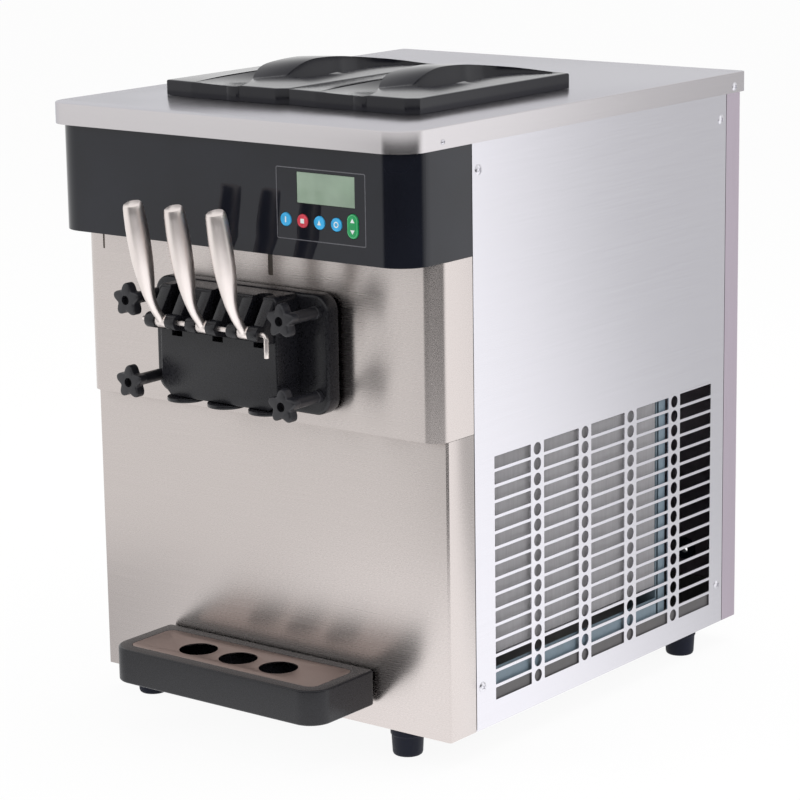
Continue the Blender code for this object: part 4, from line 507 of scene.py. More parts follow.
def flag_card():
    """A dark card round the view's own side with soft upright edges, as the room behind the camera."""
    points = [(FLAG_AWAY * math.sin(math.radians(a)), -FLAG_AWAY * math.cos(math.radians(a)))
              for a in range(FLAG_LEFT[0], FLAG_RIGHT[0] + 1, 4)]
    form = bmesh.new()
    low = [form.verts.new((x, y, 0.001)) for x, y in points]
    high = [form.verts.new((x, y, FLAG_TOP)) for x, y in points]
    for i in range(len(points) - 1):
        form.faces.new((low[i], low[i + 1], high[i + 1], high[i]))
    card = from_bmesh("flag_card", form)
    material, nodes, links, shader = shader_of("flag_dark")
    shader.inputs["Base Color"].default_value = (0.02, 0.02, 0.022, 1)
    shader.inputs["Roughness"].default_value = 0.9
    coord = nodes.new("ShaderNodeTexCoord")
    place = nodes.new("ShaderNodeSeparateXYZ")
    links.new(coord.outputs["Object"], place.inputs["Vector"])
    ahead = math_of(nodes, links, "MULTIPLY", place.outputs["Y"], -1)
    bearing = math_of(nodes, links, "ARCTAN2", place.outputs["X"], ahead)
    left, right = [ramp_of(nodes, links, bearing, math.radians(a), math.radians(b), 0, 1)
                   for a, b in (FLAG_LEFT, FLAG_RIGHT)]
    mix = nodes.new("ShaderNodeMixShader")
    links.new(math_of(nodes, links, "MULTIPLY", left, right), mix.inputs["Fac"])
    clear = nodes.new("ShaderNodeBsdfTransparent")
    links.new(clear.outputs["BSDF"], mix.inputs[1])
    links.new(shader.outputs["BSDF"], mix.inputs[2])
    links.new(mix.outputs["Shader"], nodes["Material Output"].inputs["Surface"])
    card.data.materials.append(material)
    in_gloss_only(card)


def side_glow():
    """A pale strip of floor that the right side mirrors, brighter to the front than to the rear."""
    along = Vector((BACK.x, -BACK.y)).normalized()
    across = Vector((-along.y, along.x))
    start = Vector((HALF, 0))
    spread = ((-GLOW_HALF, -1), (-GLOW_HALF, GLOW_REACH), (GLOW_HALF, GLOW_REACH), (GLOW_HALF, -1))
    corners = [start + across * q + along * t for q, t in spread]
    form = bmesh.new()
    ground = [form.verts.new((x, y, 0.0005)) for x, y in corners]
    form.faces.new(ground)
    wall = [form.verts.new((x, y, GLOW_WALL)) for x, y in corners[1:3]]
    form.faces.new((ground[1], ground[2], wall[1], wall[0]))
    card = from_bmesh("side_glow", form)
    material, nodes, links, shader = shader_of("side_glow")
    coord = nodes.new("ShaderNodeTexCoord")
    place = nodes.new("ShaderNodeVectorMath")
    place.operation = "DOT_PRODUCT"
    links.new(coord.outputs["Object"], place.inputs[0])
    place.inputs[1].default_value = (*across, 0)
    near, far = [across.dot(start) + q for q in GLOW_ACROSS]
    glow = nodes.new("ShaderNodeEmission")
    glow.inputs["Color"].default_value = (0.99, 0.99, 1, 1)
    fall = ramp_of(nodes, links, place.outputs["Value"], near, far, GLOW_FRONT, GLOW_REAR)
    links.new(fall, glow.inputs["Strength"])
    links.new(glow.outputs["Emission"], nodes["Material Output"].inputs["Surface"])
    card.data.materials.append(material)
    in_gloss_only(card)


def world():
    studio = bpy.data.worlds.new("studio")
    bpy.context.scene.world = studio
    studio.use_nodes = True
    nodes, links = studio.node_tree.nodes, studio.node_tree.links
    nodes.clear()
    output = nodes.new("ShaderNodeOutputWorld")
    seen = nodes.new("ShaderNodeBackground")
    seen.inputs["Color"].default_value = (1, 1, 1, 1)
    seen.inputs["Strength"].default_value = 1.0
    light = nodes.new("ShaderNodeBackground")
    light.inputs["Color"].default_value = (1.0, 0.99, 0.98, 1)
    light.inputs["Strength"].default_value = 0.75
    mix = nodes.new("ShaderNodeMixShader")
    links.new(shown(nodes, links), mix.inputs["Fac"])
    links.new(light.outputs["Background"], mix.inputs[1])
    links.new(seen.outputs["Background"], mix.inputs[2])
    links.new(mix.outputs["Shader"], output.inputs["Surface"])


def lamp(name, place, target, size, power, colour):
    data = bpy.data.lights.new(name, "AREA")
    data.shape = "RECTANGLE"
    data.size, data.size_y = size
    data.energy = power
    data.color = colour
    obj = bpy.data.objects.new(name, data)
    bpy.context.scene.collection.objects.link(obj)
    aim = Vector(target) - Vector(place)
    obj.matrix_world = Matrix.Translation(place) @ aim.to_track_quat("-Z", "Y").to_matrix().to_4x4()
    obj.visible_camera = obj.visible_glossy = False


def lights():
    lamp("key_left", (-2.4, -2.6, 2.6), (0, 0, 0.4), (2.4, 1.8), 42, (1.0, 0.97, 0.94))
    lamp("fill_right", (3.0, 0.6, 1.8), (0, 0, 0.4), (2.0, 1.6), 30, (0.95, 0.97, 1.0))
    lamp("top", (0.2, 0.6, 3.0), (0, 0, 0.6), (2.6, 2.6), 40, (1.0, 1.0, 1.0))


camera()
floor()
flag_card()
side_glow()
world()
lights()


# Cabinet sheets

LOWER_CORNER = 0.003
MID_NOSE = 0.016
MID_CORNER = 0.020
MID_LIP = 0.0055
MID_SLOTS = {"centre": ((0.0236, 0.553), (0.0306, 0.5795), 0.0015),
             "left": ((-0.2340, 0.560), (-0.2312, 0.5795), 0.0012)}
FASCIA_NOSE = 0.064
FASCIA_CORNER = 0.038
FASCIA_WALL = 0.003
FASCIA_LIP = -0.0105
LCD_LIP = 0.0017
KEY_HOLE = 0.0082
ROCKER_GAP = 0.0006
ROCKER_CORNER = 0.00835
GASKET_HALF = 0.122
GASKET_Z = (0.4115, 0.5355)
GASKET_CORNER = 0.0125
COVER_RADII = (0.035, 0.035, 0.004, 0.004)
COVER_EDGE = 0.0012
HOPPER_LIP = 0.0057
HOPPER_CORNER = 0.0203
RIM_SCREWS = {"rear": (0.596, 0.7215, 0.0055), "front": (-0.008, 0.7220, 0.0030)}
VENT_START = (0.088, 0.0615)
VENT_PITCH = (0.0983, 0.01835)
VENT_SLOT = (0.072, 0.0147)
VENT_HOLE = 0.0074
VENT_HOLE_GAP = 0.01315
VENT_ROWS = 16
VENT_COLUMNS = 5
LEFT_VENT_PITCH = (0.2552, 0.0367)
LEFT_VENT_SLOT = (0.210, 0.008)
LEFT_VENT_ROWS = 6
PANEL_SCREWS = ((0.062, 0.683), (0.571, 0.683), (0.062, 0.084), (0.571, 0.084))

def wrap_path(nose, corner, inset, end):
    """The plan line of a front sheet from the left seam round the nose to the right seam."""
    side = HALF - inset
    front = FACE - nose + inset
    bend = max(corner - inset, 0.0002)
    left = arc((-side + bend, front + bend), bend, 180, 270, 12)
    right = arc((side - bend, front + bend), bend, 270, 360, 12)
    return [(-side, end), *left, *right, (side, end)]


def wrap_sheet(name, nose, corner, wall, low, high, lip_to=None):
    """A front sheet with its side returns, and a closed underside where it stands out over the next one."""
    end = SEAM_Y - 0.0006
    outer = wrap_path(nose, corner, 0, end)
    inner = wrap_path(nose, corner, wall, end)
    sheet = prism(name, [outer + inner[::-1]], low, high)
    if lip_to is not None:
        line = wrap_path(nose, corner, wall / 2, FACE + lip_to)
        lip = prism(name + "_lip", [line], low + 0.0005, low + 0.0005 + wall)
        join(sheet, lip)
    return sheet


def gasket_outline(grow):
    low, high = GASKET_Z
    side = GASKET_HALF + grow
    return rounded((-side, low - grow), (side, high + grow), [GASKET_CORNER + grow] * 4, 4)


def front_sheets():
    lower = wrap_sheet("lower", 0, LOWER_CORNER, SHEET, FOOT_TOP, MID_Z - 0.0003)
    dressed(bevelled(lower, 0.0003, 2), "lower_front_sheet", FRONT_STEEL, "cabinet", ["lower_front_panel"])
    mid = wrap_sheet("mid", MID_NOSE, MID_CORNER, SHEET, MID_Z, FASCIA_Z - 0.0003, MID_LIP)
    cut(mid, prism("head_opening", [gasket_outline(0.0003)], FACE - 0.020, FACE - 0.012, "Y"))
    for name, (low, high, corner) in MID_SLOTS.items():
        slot = rounded(low, high, [corner] * 4, 4)
        cut(mid, prism(f"mid_slot_{name}", [slot], FACE - 0.020, FACE - 0.012, "Y"))
        # A dark brown sheet behind the slot, as painted shade inside it.
        shade_sheet = prism(f"slot_shade_sheet_{name}", [slot], FACE - 0.0155, FACE - 0.0145, "Y")
        dressed(shade_sheet, f"mid_slot_liner_{name}", SLOT_SHADE_BROWN, "cabinet")
    dressed(mid, "mid_front_sheet", FRONT_STEEL, "cabinet", ["mid_front_panel"])
    fascia = wrap_sheet("fascia", FASCIA_NOSE, FASCIA_CORNER, FASCIA_WALL, FASCIA_Z, PANEL_TOP, FASCIA_LIP)
    near, far = FACE - 0.070, FACE - 0.058
    low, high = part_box("lcd_window")
    cut(fascia, block("lcd_hole", (low.x + LCD_LIP, near, low.z + LCD_LIP),
                      (high.x - LCD_LIP, far, high.z - LCD_LIP)))
    for i in range(1, 5):
        low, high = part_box(f"round_key_{i}")
        x, z = (low.x + high.x) / 2, (low.z + high.z) / 2
        cut(fascia, rod(f"key_hole_{i}", KEY_HOLE, (x, near, z), (x, far, z), 32))
    low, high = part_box("rocker_key")
    hole = rounded((low.x - ROCKER_GAP, low.z - ROCKER_GAP), (high.x + ROCKER_GAP, high.z + ROCKER_GAP),
                   [ROCKER_CORNER] * 4, 8)
    cut(fascia, prism("rocker_hole", [hole], near, far, "Y"))
    dressed(fascia, "fascia_shell", FASCIA_BLACK, "cabinet", ["fascia"])


def top_sheet():
    low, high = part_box("top_cover")
    outline = rounded((low.x, low.y), (high.x, high.y), COVER_RADII, 12)
    cover = prism("cover", [outline], low.z - 0.010, high.z)
    bevelled(cover, COVER_EDGE, 3, 60)
    cut(cover, block("cover_trim", (low.x - 0.01, low.y - 0.01, low.z - 0.03),
                     (high.x + 0.01, high.y + 0.01, low.z)))
    inner = rounded((low.x + SHEET, low.y + SHEET), (high.x - SHEET, high.y - SHEET),
                    [max(r - SHEET, 0.001) for r in COVER_RADII], 12)
    cut(cover, prism("cover_inside", [inner], low.z - 0.02, high.z - SHEET))
    for side in SIDES:
        a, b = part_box(f"hopper_{side}")
        hole = rounded((a.x + HOPPER_LIP, a.y + HOPPER_LIP), (b.x - HOPPER_LIP, b.y - HOPPER_LIP),
                       [HOPPER_CORNER] * 4, 6)
        cut(cover, prism(f"opening_{side}", [hole], high.z - 0.01, high.z + 0.01))
    dressed(cover, "top_cover_sheet", TOP_STEEL, "cabinet", ["top_cover"])
    for side, sign in SIDES.items():
        edge = low.x if sign < 0 else high.x
        for place, (y, z, radius) in RIM_SCREWS.items():
            screw_head(f"rim_screw_{side}_{place}", (edge, FACE + y, z), (sign, 0, 0), radius)


def screw_head(name, place, axis, radius=0.0062):
    """A low domed screw with a cross recess, standing on a panel."""
    profile = [(0, 0.0019), (radius * 0.45, 0.0018), (radius * 0.8, 0.0012), (radius, 0.0003), (radius, 0),
               (0, 0)]
    head = lathe(name, profile, 24)
    for i in range(2):
        arm = block(f"{name}_arm_{i}", (-radius * 0.5, -0.0006, 0.0010), (radius * 0.5, 0.0006, 0.003))
        arm.data.transform(Matrix.Rotation(math.radians(35 + 90 * i), 4, "Z"))
        cut(head, arm)
    head.data.transform(Matrix.Translation(place) @ Vector(axis).to_track_quat("Z", "Y").to_matrix().to_4x4())
    dressed(head, name, SIDE_STEEL, "cabinet")


def side_sheets():
    low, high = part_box("right_side_panel")
    loops = [rounded((low.y, low.z), (high.y, high.z), [0.001] * 4, 2)]
    wide, tall = VENT_SLOT
    for row in range(VENT_ROWS):
        z = VENT_START[1] + VENT_PITCH[1] * row
        for column in range(VENT_COLUMNS):
            y = FACE + VENT_START[0] + VENT_PITCH[0] * column
            loops.append(rounded((y, z), (y + wide, z + tall), [0.0012] * 4, 3))
            if column < VENT_COLUMNS - 1:
                loops.append(circle((y + wide + VENT_HOLE_GAP, z + tall / 2), VENT_HOLE, 24))
    sheet = prism("right_sheet", loops, low.x, high.x, "X")
    dressed(sheet, "right_side_sheet", SIDE_STEEL, "cabinet", ["right_side_panel"])
    a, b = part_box("left_side_panel")
    loops = [rounded((a.y, a.z), (b.y, b.z), [0.001] * 4, 2)]
    wide, tall = LEFT_VENT_SLOT
    for row in range(LEFT_VENT_ROWS):
        z = VENT_START[1] + LEFT_VENT_PITCH[1] * row
        for y in (FACE + VENT_START[0], FACE + VENT_START[0] + LEFT_VENT_PITCH[0]):
            loops.append(rounded((y, z), (y + wide, z + tall), [0.0038] * 4, 5))
    sheet = prism("left_sheet", loops, a.x, b.x, "X")
    dressed(sheet, "left_side_sheet", SIDE_STEEL, "cabinet", ["left_side_panel"])
    for i, (y, z) in enumerate(PANEL_SCREWS):
        screw_head(f"panel_screw_right_{i}", (high.x, FACE + y, z), (1, 0, 0))
        screw_head(f"panel_screw_left_{i}", (a.x, FACE + y, z), (-1, 0, 0))


front_sheets()
top_sheet()
side_sheets()


# Feet

FOOT_PAD_TOP = 0.0327
FOOT_PROFILE = [
    (0, FOOT_PAD_TOP), (0.0195, FOOT_PAD_TOP), (0.0200, FOOT_PAD_TOP - 0.0006),
    (0.0200, FOOT_PAD_TOP - 0.0075), (0.0192, FOOT_PAD_TOP - 0.0085), (0.0189, FOOT_PAD_TOP - 0.0100),
    (0.0178, 0.0030), (0.0170, 0.0008), (0.0160, 0), (0.0100, 0), (0.0090, 0.0012), (0, 0.0012),
]


def feet():
    for row in ("front", "rear"):
        for side in SIDES:
            name = f"foot_{row}_{side}"
            low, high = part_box(name)
            x, y = (low.x + high.x) / 2, (low.y + high.y) / 2
            pad = lathe(name, FOOT_PROFILE, 48, "Z", (x, y, 0))
            dressed(pad, name + "_pad", RUBBER, "cabinet", [name])


feet()


# Head with its lugs, screws, pin and nozzles

PIVOT = Vector((0, FACE - 0.1025, 0.5045))
FLANGE_FRONT = FACE - 0.041
FLANGE_BACK = FACE - 0.0193
FLANGE_HALF = 0.1295
FLANGE_Z = (0.404, 0.543)
FLANGE_CORNER = 0.020
HEAD_FACE = FACE - 0.080
HEAD_OUTLINE = [(-0.074, 0.411), (0.074, 0.411), (0.088, 0.425), (0.088, 0.538), (0.084, 0.542),
                (-0.084, 0.542), (-0.088, 0.538), (-0.088, 0.425)]
LUG_OFFSET = 0.0152
LUG_HALF = 0.00725
LUG_NOSE = 0.009
LUG_ROOT = HEAD_FACE + 0.010
LUG_Z = (0.487, 0.539)
BORE_Y = FACE - 0.067
BORE_RADIUS = 0.0095
POCKET_HALF = 0.00795
PIN_RADIUS = 0.003
PIN_HOLE = 0.0033
PIN_REACH = 0.0919
PIN_BEND = 0.006


def dispensing_head():
    outline = rounded((-FLANGE_HALF, FLANGE_Z[0]), (FLANGE_HALF, FLANGE_Z[1]), [FLANGE_CORNER] * 4, 8)
    head = bevelled(prism("flange", [outline], FLANGE_FRONT, FLANGE_BACK, "Y"), 0.0035, 3)
    core = bevelled(prism("block", [HEAD_OUTLINE], HEAD_FACE, FLANGE_FRONT + 0.011, "Y"), 0.0022, 3)
    join(head, core)
    nose = arc((PIVOT.y, PIVOT.z), LUG_NOSE, 60, 270, 12)
    side_view = [(LUG_ROOT, LUG_Z[0]), (LUG_ROOT, LUG_Z[1]), (HEAD_FACE, LUG_Z[1]), *nose]
    for i, x in enumerate(x + s * LUG_OFFSET for x in OUTLETS.values() for s in (-1, 1)):
        join(head, bevelled(prism(f"lug_{i}", [side_view], x - LUG_HALF, x + LUG_HALF, "X"), 0.0012, 2))
    for name, x in OUTLETS.items():
        cut(head, rod(f"bore_{name}", BORE_RADIUS, (x, BORE_Y, 0.400), (x, BORE_Y, 0.560), 32))
        cut(head, block(f"pocket_{name}", (x - POCKET_HALF, HEAD_FACE - 0.004, 0.483),
                        (x + POCKET_HALF, BORE_Y, 0.550)))
    cut(head, rod("pin_hole", PIN_HOLE, (-0.10, PIVOT.y, PIVOT.z), (0.10, PIVOT.y, PIVOT.z), 20))
    dressed(head, "head_casting", HEAD_BLACK, "cabinet", ["dispensing_head"])


def pivot_pin():
    bend = arc((PIN_REACH - PIN_BEND, -PIN_BEND), PIN_BEND, 90, 0, 8)
    line = [(-PIN_REACH, 0, 0), (-0.03, 0, 0), (0.03, 0, 0), *((u, 0, v) for u, v in bend)]
    line += [(PIN_REACH, 0, -0.016), (PIN_REACH, 0, -0.026)]
    pin = tube("pin", [PIVOT + Vector(p) for p in line], [PIN_RADIUS] * len(line), 20)
    bevelled(pin, 0.0006, 2, 60)
    dressed(pin, "pivot_pin_rod", HANDLE_METAL, "cabinet", ["pivot_pin"])


HANDLE_LINE = (
    (0.0000, 0.0000, 0.0055), (0.0080, 0.0088, 0.0054), (0.0150, 0.0180, 0.0055), (0.0197, 0.0270, 0.0061),
    (0.0235, 0.0370, 0.0074), (0.0270, 0.0530, 0.0099), (0.0318, 0.0760, 0.0123), (0.0377, 0.1050, 0.0130),
    (0.0425, 0.1300, 0.0122), (0.0440, 0.1372, 0.0116), (0.0446, 0.1404, 0.0108), (0.0449, 0.1415, 0.0094),
)


HANDLE_TAIL = ((0.0325, -0.0118, 0.0040), (0.0160, -0.0058, 0.0044))
HUB_RADIUS = 0.0075
HUB_HALF = 0.00735


def draw_handles():
    """Levers with a swelling grip, a hub on the pin and a tail that lifts the piston."""
    for name, x in OUTLETS.items():
        rows = [*HANDLE_TAIL, *((-f, u, r) for f, u, r in HANDLE_LINE)]
        rows = smooth_line(rows[:-3], 4) + rows[-3:]
        line = [PIVOT + Vector((x, y, z)) for y, z, _ in rows]
        handle = tube(f"handle_{name}", line, [r for _, _, r in rows], 28)
        ends = [PIVOT + Vector((x + s * HUB_HALF, 0, 0)) for s in (-1, 1)]
        join(handle, rod(f"hub_{name}", HUB_RADIUS, *ends, 32, 0.0008))
        ends = [PIVOT + Vector((x + s * 0.02, 0, 0)) for s in (-1, 1)]
        cut(handle, rod(f"hub_bore_{name}", PIN_HOLE, *ends, 20))
        dressed(handle, f"handle_grip_{name}", HANDLE_METAL, f"handle_{name}", [f"draw_handle_{name}"])


KNOB_SIDES = 100
KNOB_RADIUS = 0.0166
KNOB_LOBE = 0.0034
KNOB_EDGE = 0.0028
KNOB_FRONT = -0.067
KNOB_BACK = -0.053
SCREW_X = 0.115
SCREW_ROWS = {"upper": 0.5235, "lower": 0.4268}
STEM_PROFILE = [(0, -0.0004), (0.0075, -0.0004), (0.0075, -0.0060), (0.0069, -0.0066), (0.0069, -0.0470),
                (0.0080, -0.0520), (0.0080, -0.0560), (0, -0.0560)]


def hand_screws():
    """A five-lobed knob with rounded edges, a long stem and a threaded shank."""
    turns = [2 * math.pi * i / KNOB_SIDES for i in range(KNOB_SIDES)]
    radii = [KNOB_RADIUS + KNOB_LOBE * math.cos(5 * a) for a in turns]
    levels = [(KNOB_EDGE * (1 - math.sin(math.radians(a))), KNOB_EDGE * (1 - math.cos(math.radians(a))))
              for a in (90, 60, 30, 0)]
    rings = [(KNOB_FRONT + d, inset) for d, inset in levels]
    rings += [(KNOB_BACK - d, inset) for d, inset in reversed(levels)]
    for row, z in SCREW_ROWS.items():
        for side, sign in SIDES.items():
            form = bmesh.new()
            loops = [[form.verts.new(((r - inset) * math.sin(a), y, (r - inset) * math.cos(a)))
                      for a, r in zip(turns, radii)] for y, inset in rings]
            for a, b in zip(loops, loops[1:]):
                for i in range(KNOB_SIDES):
                    j = (i + 1) % KNOB_SIDES
                    form.faces.new((a[i], a[j], b[j], b[i]))
            form.faces.new(loops[0][::-1])
            form.faces.new(loops[-1])
            knob = from_bmesh(f"knob_{row}_{side}", form)
            join(knob, lathe(f"stem_{row}_{side}", STEM_PROFILE, 32, "Y"))
            shank = rod(f"shank_{row}_{side}", 0.005, (0, -0.010, 0), (0, 0.0340, 0), 24, 0.0006)
            join(knob, shank)
            cut(knob, rod(f"socket_{row}_{side}", 0.0055, (0, -0.08, 0), (0, -0.059, 0), 32))
            knob.data.transform(Matrix.Translation((sign * SCREW_X, FLANGE_FRONT, z)))
            dressed(knob, f"hand_screw_knob_{row}_{side}", KNOB_BLACK, f"screw_{row}_{side}",
                    [f"hand_screw_{row}_{side}"])


NOZZLE_RADIUS = 0.0225
STAR_RADII = (0.0085, 0.0045)


def star_nozzles():
    for name, x in OUTLETS.items():
        low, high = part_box(f"star_nozzle_{name}")
        cx, cy = (low.x + high.x) / 2, (low.y + high.y) / 2
        star = [(cx + r * math.cos(a), cy + r * math.sin(a)) for r, a in
                ((STAR_RADII[i % 2], math.pi * i / 6) for i in range(12))]
        cap = prism(f"cap_{name}", [circle((cx, cy), NOZZLE_RADIUS, 64), star], low.z, high.z)
        bevelled(cap, 0.0008, 2)
        dressed(cap, f"nozzle_cap_{name}", HEAD_BLACK, "cabinet", [f"star_nozzle_{name}"])


dispensing_head()
pivot_pin()
draw_handles()
hand_screws()
star_nozzles()


# Hopper lids

LID_HALF = Vector((0.093, 0.1535))
LID_MIDDLE = Vector((0.0945, FACE + 0.2035))
LID_EDGE = 0.018
LID_ROLL = 0.0018
LID_CROWN = 0.0025
GRIP_RISE = 0.0158
GRIP_HALF = 0.017
GRIP_REACH = 0.105
GRIP_LEAN = 0.043
GRIP_EDGE = ((0, 0.017), (0.055, 0.017), (0.078, 0.021), (0.098, 0.029), (0.118, 0.045), (0.138, 0.076),
             (0.160, 0.093))
GRIP_SHARP = 0.004
GRIP_SOFT = 0.020
FACET_START = -0.050
FACET_SLOPE = 0.11
CORNER_START = 0.080
CORNER_SLOPE = 0.70
BEAD_MIDDLE = 0.0145
BEAD_HALF = 0.0095
BEAD_RISE = 0.0024
LID_INSIDE = (0.0912, 0.1490)
LID_HOLLOW = 0.005
SCOOP_NEAR = (
    (0.0180, -0.0620, 0.0300, -0.0700, 0.0030), (0.0170, -0.0430, 0.0440, -0.0600, 0.0090),
    (0.0165, -0.0100, 0.0490, -0.0330, 0.0105), (0.0165, 0.0300, 0.0490, 0.0050, 0.0105),
    (0.0170, 0.0550, 0.0470, 0.0380, 0.0100), (0.0210, 0.0780, 0.0440, 0.0660, 0.0085),
    (0.0290, 0.0980, 0.0440, 0.0900, 0.0065), (0.0450, 0.1180, 0.0540, 0.1110, 0.0040),
    (0.0760, 0.1380, 0.0790, 0.1340, 0.0010),
)
SCOOP_FAR = (
    (-0.0180, 0.0620, -0.0300, 0.0700, 0.0030), (-0.0170, 0.0430, -0.0440, 0.0600, 0.0090),
    (-0.0165, 0.0100, -0.0490, 0.0330, 0.0105), (-0.0165, -0.0300, -0.0490, -0.0050, 0.0105),
    (-0.0150, -0.0620, -0.0490, -0.0400, 0.0100), (-0.0040, -0.0920, -0.0480, -0.0740, 0.0085),
    (0.0080, -0.1120, -0.0470, -0.1050, 0.0065), (0.0190, -0.1300, -0.0460, -0.1280, 0.0042),
    (0.0300, -0.1600, -0.0460, -0.1600, 0.0005),
)


def lid_setback(u):
    """How far the front edge stands back: a long facet, a round bead, a steep corner at the right."""
    facet = max(FACET_START - u, 0) * FACET_SLOPE
    corner = max(u - CORNER_START, 0) * CORNER_SLOPE
    bead = BEAD_RISE * math.sqrt(max(1 - ((u - BEAD_MIDDLE) / BEAD_HALF) ** 2, 0))
    return facet + corner - bead


def lid_crown(u, v):
    return max(LID_CROWN * (1 - (u / LID_HALF.x) ** 2) * (1 - (v / LID_HALF.y) ** 4), 0)


def grip_edge(v):
    """How far to the right the grip's near flank stands, as it runs out towards the rear corner."""
    for (a, low), (b, high) in zip(GRIP_EDGE, GRIP_EDGE[1:]):
        if v <= b:
            return low + (high - low) * (v - a) / (b - a)
    return GRIP_EDGE[-1][1]


def lid_ridge(u, v):
    """The grip's ridge: its near flank runs out to the rear and its far flank to the front."""
    lean = GRIP_LEAN * u / GRIP_HALF
    reach = max(GRIP_REACH + (lean if v > 0 else -lean), 0.02)
    near = u > 0 and v > 0
    edge, soft = (grip_edge(v), GRIP_SHARP) if near else (GRIP_HALF, GRIP_SOFT)
    fade = math.exp(-(max(abs(u) - edge, 0) / soft) ** 2)
    fade *= max(1 - (u / LID_HALF.x) ** 2, 0) * max(1 - (v / LID_HALF.y) ** 4, 0)
    return GRIP_RISE * fade * math.cos(math.pi / 2 * min(abs(v) / reach, 1))


def lid_body():
    """The moulding before it is cut: a fine grid for the top, closed by upright sides and a foot."""
    edges = [0, 0.0003, 0.0008, LID_ROLL, 0.004, 0.009]
    columns = {round(sign * (LID_HALF.x - d), 5) for sign in (-1, 1) for d in edges}
    columns |= {round(-0.083 + 0.002 * i, 5) for i in range(84)} | {FACET_START}
    columns |= {round(BEAD_MIDDLE + BEAD_HALF * math.sin(math.radians(15 * a)), 5) for a in range(-6, 7)}
    form = bmesh.new()
    grid = []
    for u in sorted(columns):
        first, last = lid_setback(u) - LID_HALF.y, LID_HALF.y - lid_setback(-u)
        inner = [first + 0.009 + (last - first - 0.018) * i / 110 for i in range(1, 110)]
        rows = [first + d for d in edges] + inner + [last - d for d in reversed(edges)]
        line = []
        for v in rows:
            depth = LID_ROLL - max(min(v - first, last - v, LID_HALF.x - abs(u), LID_ROLL), 0)
            roll = LID_ROLL - math.sqrt(LID_ROLL ** 2 - depth ** 2)
            line.append(form.verts.new((u, v, LID_EDGE + lid_crown(u, v) + lid_ridge(u, v) - roll)))
        grid.append(line)
    for a, b in zip(grid, grid[1:]):
        for i in range(len(a) - 1):
            form.faces.new((a[i], b[i], b[i + 1], a[i + 1]))
    rim = [line[0] for line in grid] + grid[-1][1:-1]
    rim += [line[-1] for line in reversed(grid)] + grid[0][-2:0:-1]
    foot = [form.verts.new((vert.co.x, vert.co.y, 0)) for vert in rim]
    for i in range(len(rim)):
        j = (i + 1) % len(rim)
        form.faces.new((rim[i], foot[i], foot[j], rim[j]))
    form.faces.new(foot)
    return from_bmesh("lid_body", form)


def scoop_cutter(name, stations):
    """What cuts a valley beside the grip, steep there and gentle outwards."""
    form = bmesh.new()
    floor, roof = [], []
    steps = 14
    for iu, iv, ou, ov, depth in smooth_line(stations, 5):
        line = []
        for k in range(steps + 1):
            s = k / steps
            u, v = iu * (1 - s) + ou * s, iv * (1 - s) + ov * s
            drop = depth * (1 - s ** 2) * math.sin(math.pi / 2 * min(s / 0.12, 1))
            line.append((u, v, LID_EDGE + lid_crown(u, v) - drop))
        floor.append([form.verts.new(p) for p in line])
        roof.append([form.verts.new((u, v, 0.06)) for u, v, _ in line])
    for sheet in (floor, roof):
        for a, b in zip(sheet, sheet[1:]):
            for i in range(steps):
                form.faces.new((a[i], a[i + 1], b[i + 1], b[i]))
    walls = [(floor[0], roof[0]), (floor[-1], roof[-1]), ([f[0] for f in floor], [r[0] for r in roof]),
             ([f[-1] for f in floor], [r[-1] for r in roof])]
    for low, high in walls:
        for i in range(len(low) - 1):
            form.faces.new((low[i], low[i + 1], high[i + 1], high[i]))
    return from_bmesh(name, form)


def hopper_lids():
    for side, sign in SIDES.items():
        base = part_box(f"hopper_lid_{side}")[0].z
        lid = lid_body()
        cut(lid, scoop_cutter("scoop_near", SCOOP_NEAR), scoop_cutter("scoop_far", SCOOP_FAR))
        wide, long = LID_INSIDE
        inside = rounded((-wide, -long), (wide, long), [0.022] * 4, 6)
        cut(lid, prism("lid_inside", [inside], -0.01, LID_HOLLOW))
        lid.data.transform(Matrix.Translation((sign * LID_MIDDLE.x, LID_MIDDLE.y, base)))
        dressed(lid, f"hopper_lid_{side}_moulding", LID_BLACK, f"lid_{side}", [f"hopper_lid_{side}"],
                32)


hopper_lids()


# Drip tray and cup plate

PLATE_CORNER = 0.012
PLATE_GAP = 0.0006
PLATE_LEDGE = 0.004
PLATE_SEAT = 0.0023
TRAY_RADII = (0.028, 0.028, 0.006, 0.006)
TRAY_EDGE = 0.0024
TRAY_FLOOR = 0.008
BRACKET_GAP = 0.0003
BRACKET_DEPTH = 0.004
CUP_HOLE = 0.023
CUP_HOLE_SHIFT = 0.0027


def plate_outline(grow):
    low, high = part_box("cup_plate")
    return rounded((low.x - grow, low.y - grow), (high.x + grow, high.y + grow), [PLATE_CORNER + grow] * 4, 8)


def drip_tray():
    low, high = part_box("drip_tray")
    outline = rounded((low.x, low.y), (high.x, high.y), TRAY_RADII, 14)
    tray = bevelled(prism("tray", [outline], low.z, high.z), TRAY_EDGE, 4, 50)
    cut(tray, prism("plate_seat", [plate_outline(PLATE_GAP)], high.z - PLATE_SEAT, high.z + 0.01))
    cut(tray, prism("basin", [plate_outline(-PLATE_LEDGE)], low.z + TRAY_FLOOR, high.z))
    a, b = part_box("tray_bracket")
    cut(tray, block("bracket_recess", (a.x - BRACKET_GAP, a.y - BRACKET_GAP, low.z - 0.01),
                    (b.x + BRACKET_GAP, high.y + 0.01, low.z + BRACKET_DEPTH)))
    dressed(tray, "drip_tray_moulding", TRAY_BLACK, "tray", ["drip_tray"])


def cup_plate():
    low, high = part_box("cup_plate")
    middle = (low.y + high.y) / 2 - CUP_HOLE_SHIFT
    holes = [circle((x, middle), CUP_HOLE, 64) for x in OUTLETS.values()]
    plate = bevelled(prism("cups", [plate_outline(0), *holes], low.z, high.z), 0.0005, 2, 50)
    dressed(plate, "cup_plate_sheet", PLATE_STEEL, "plate", ["cup_plate"])


drip_tray()
cup_plate()


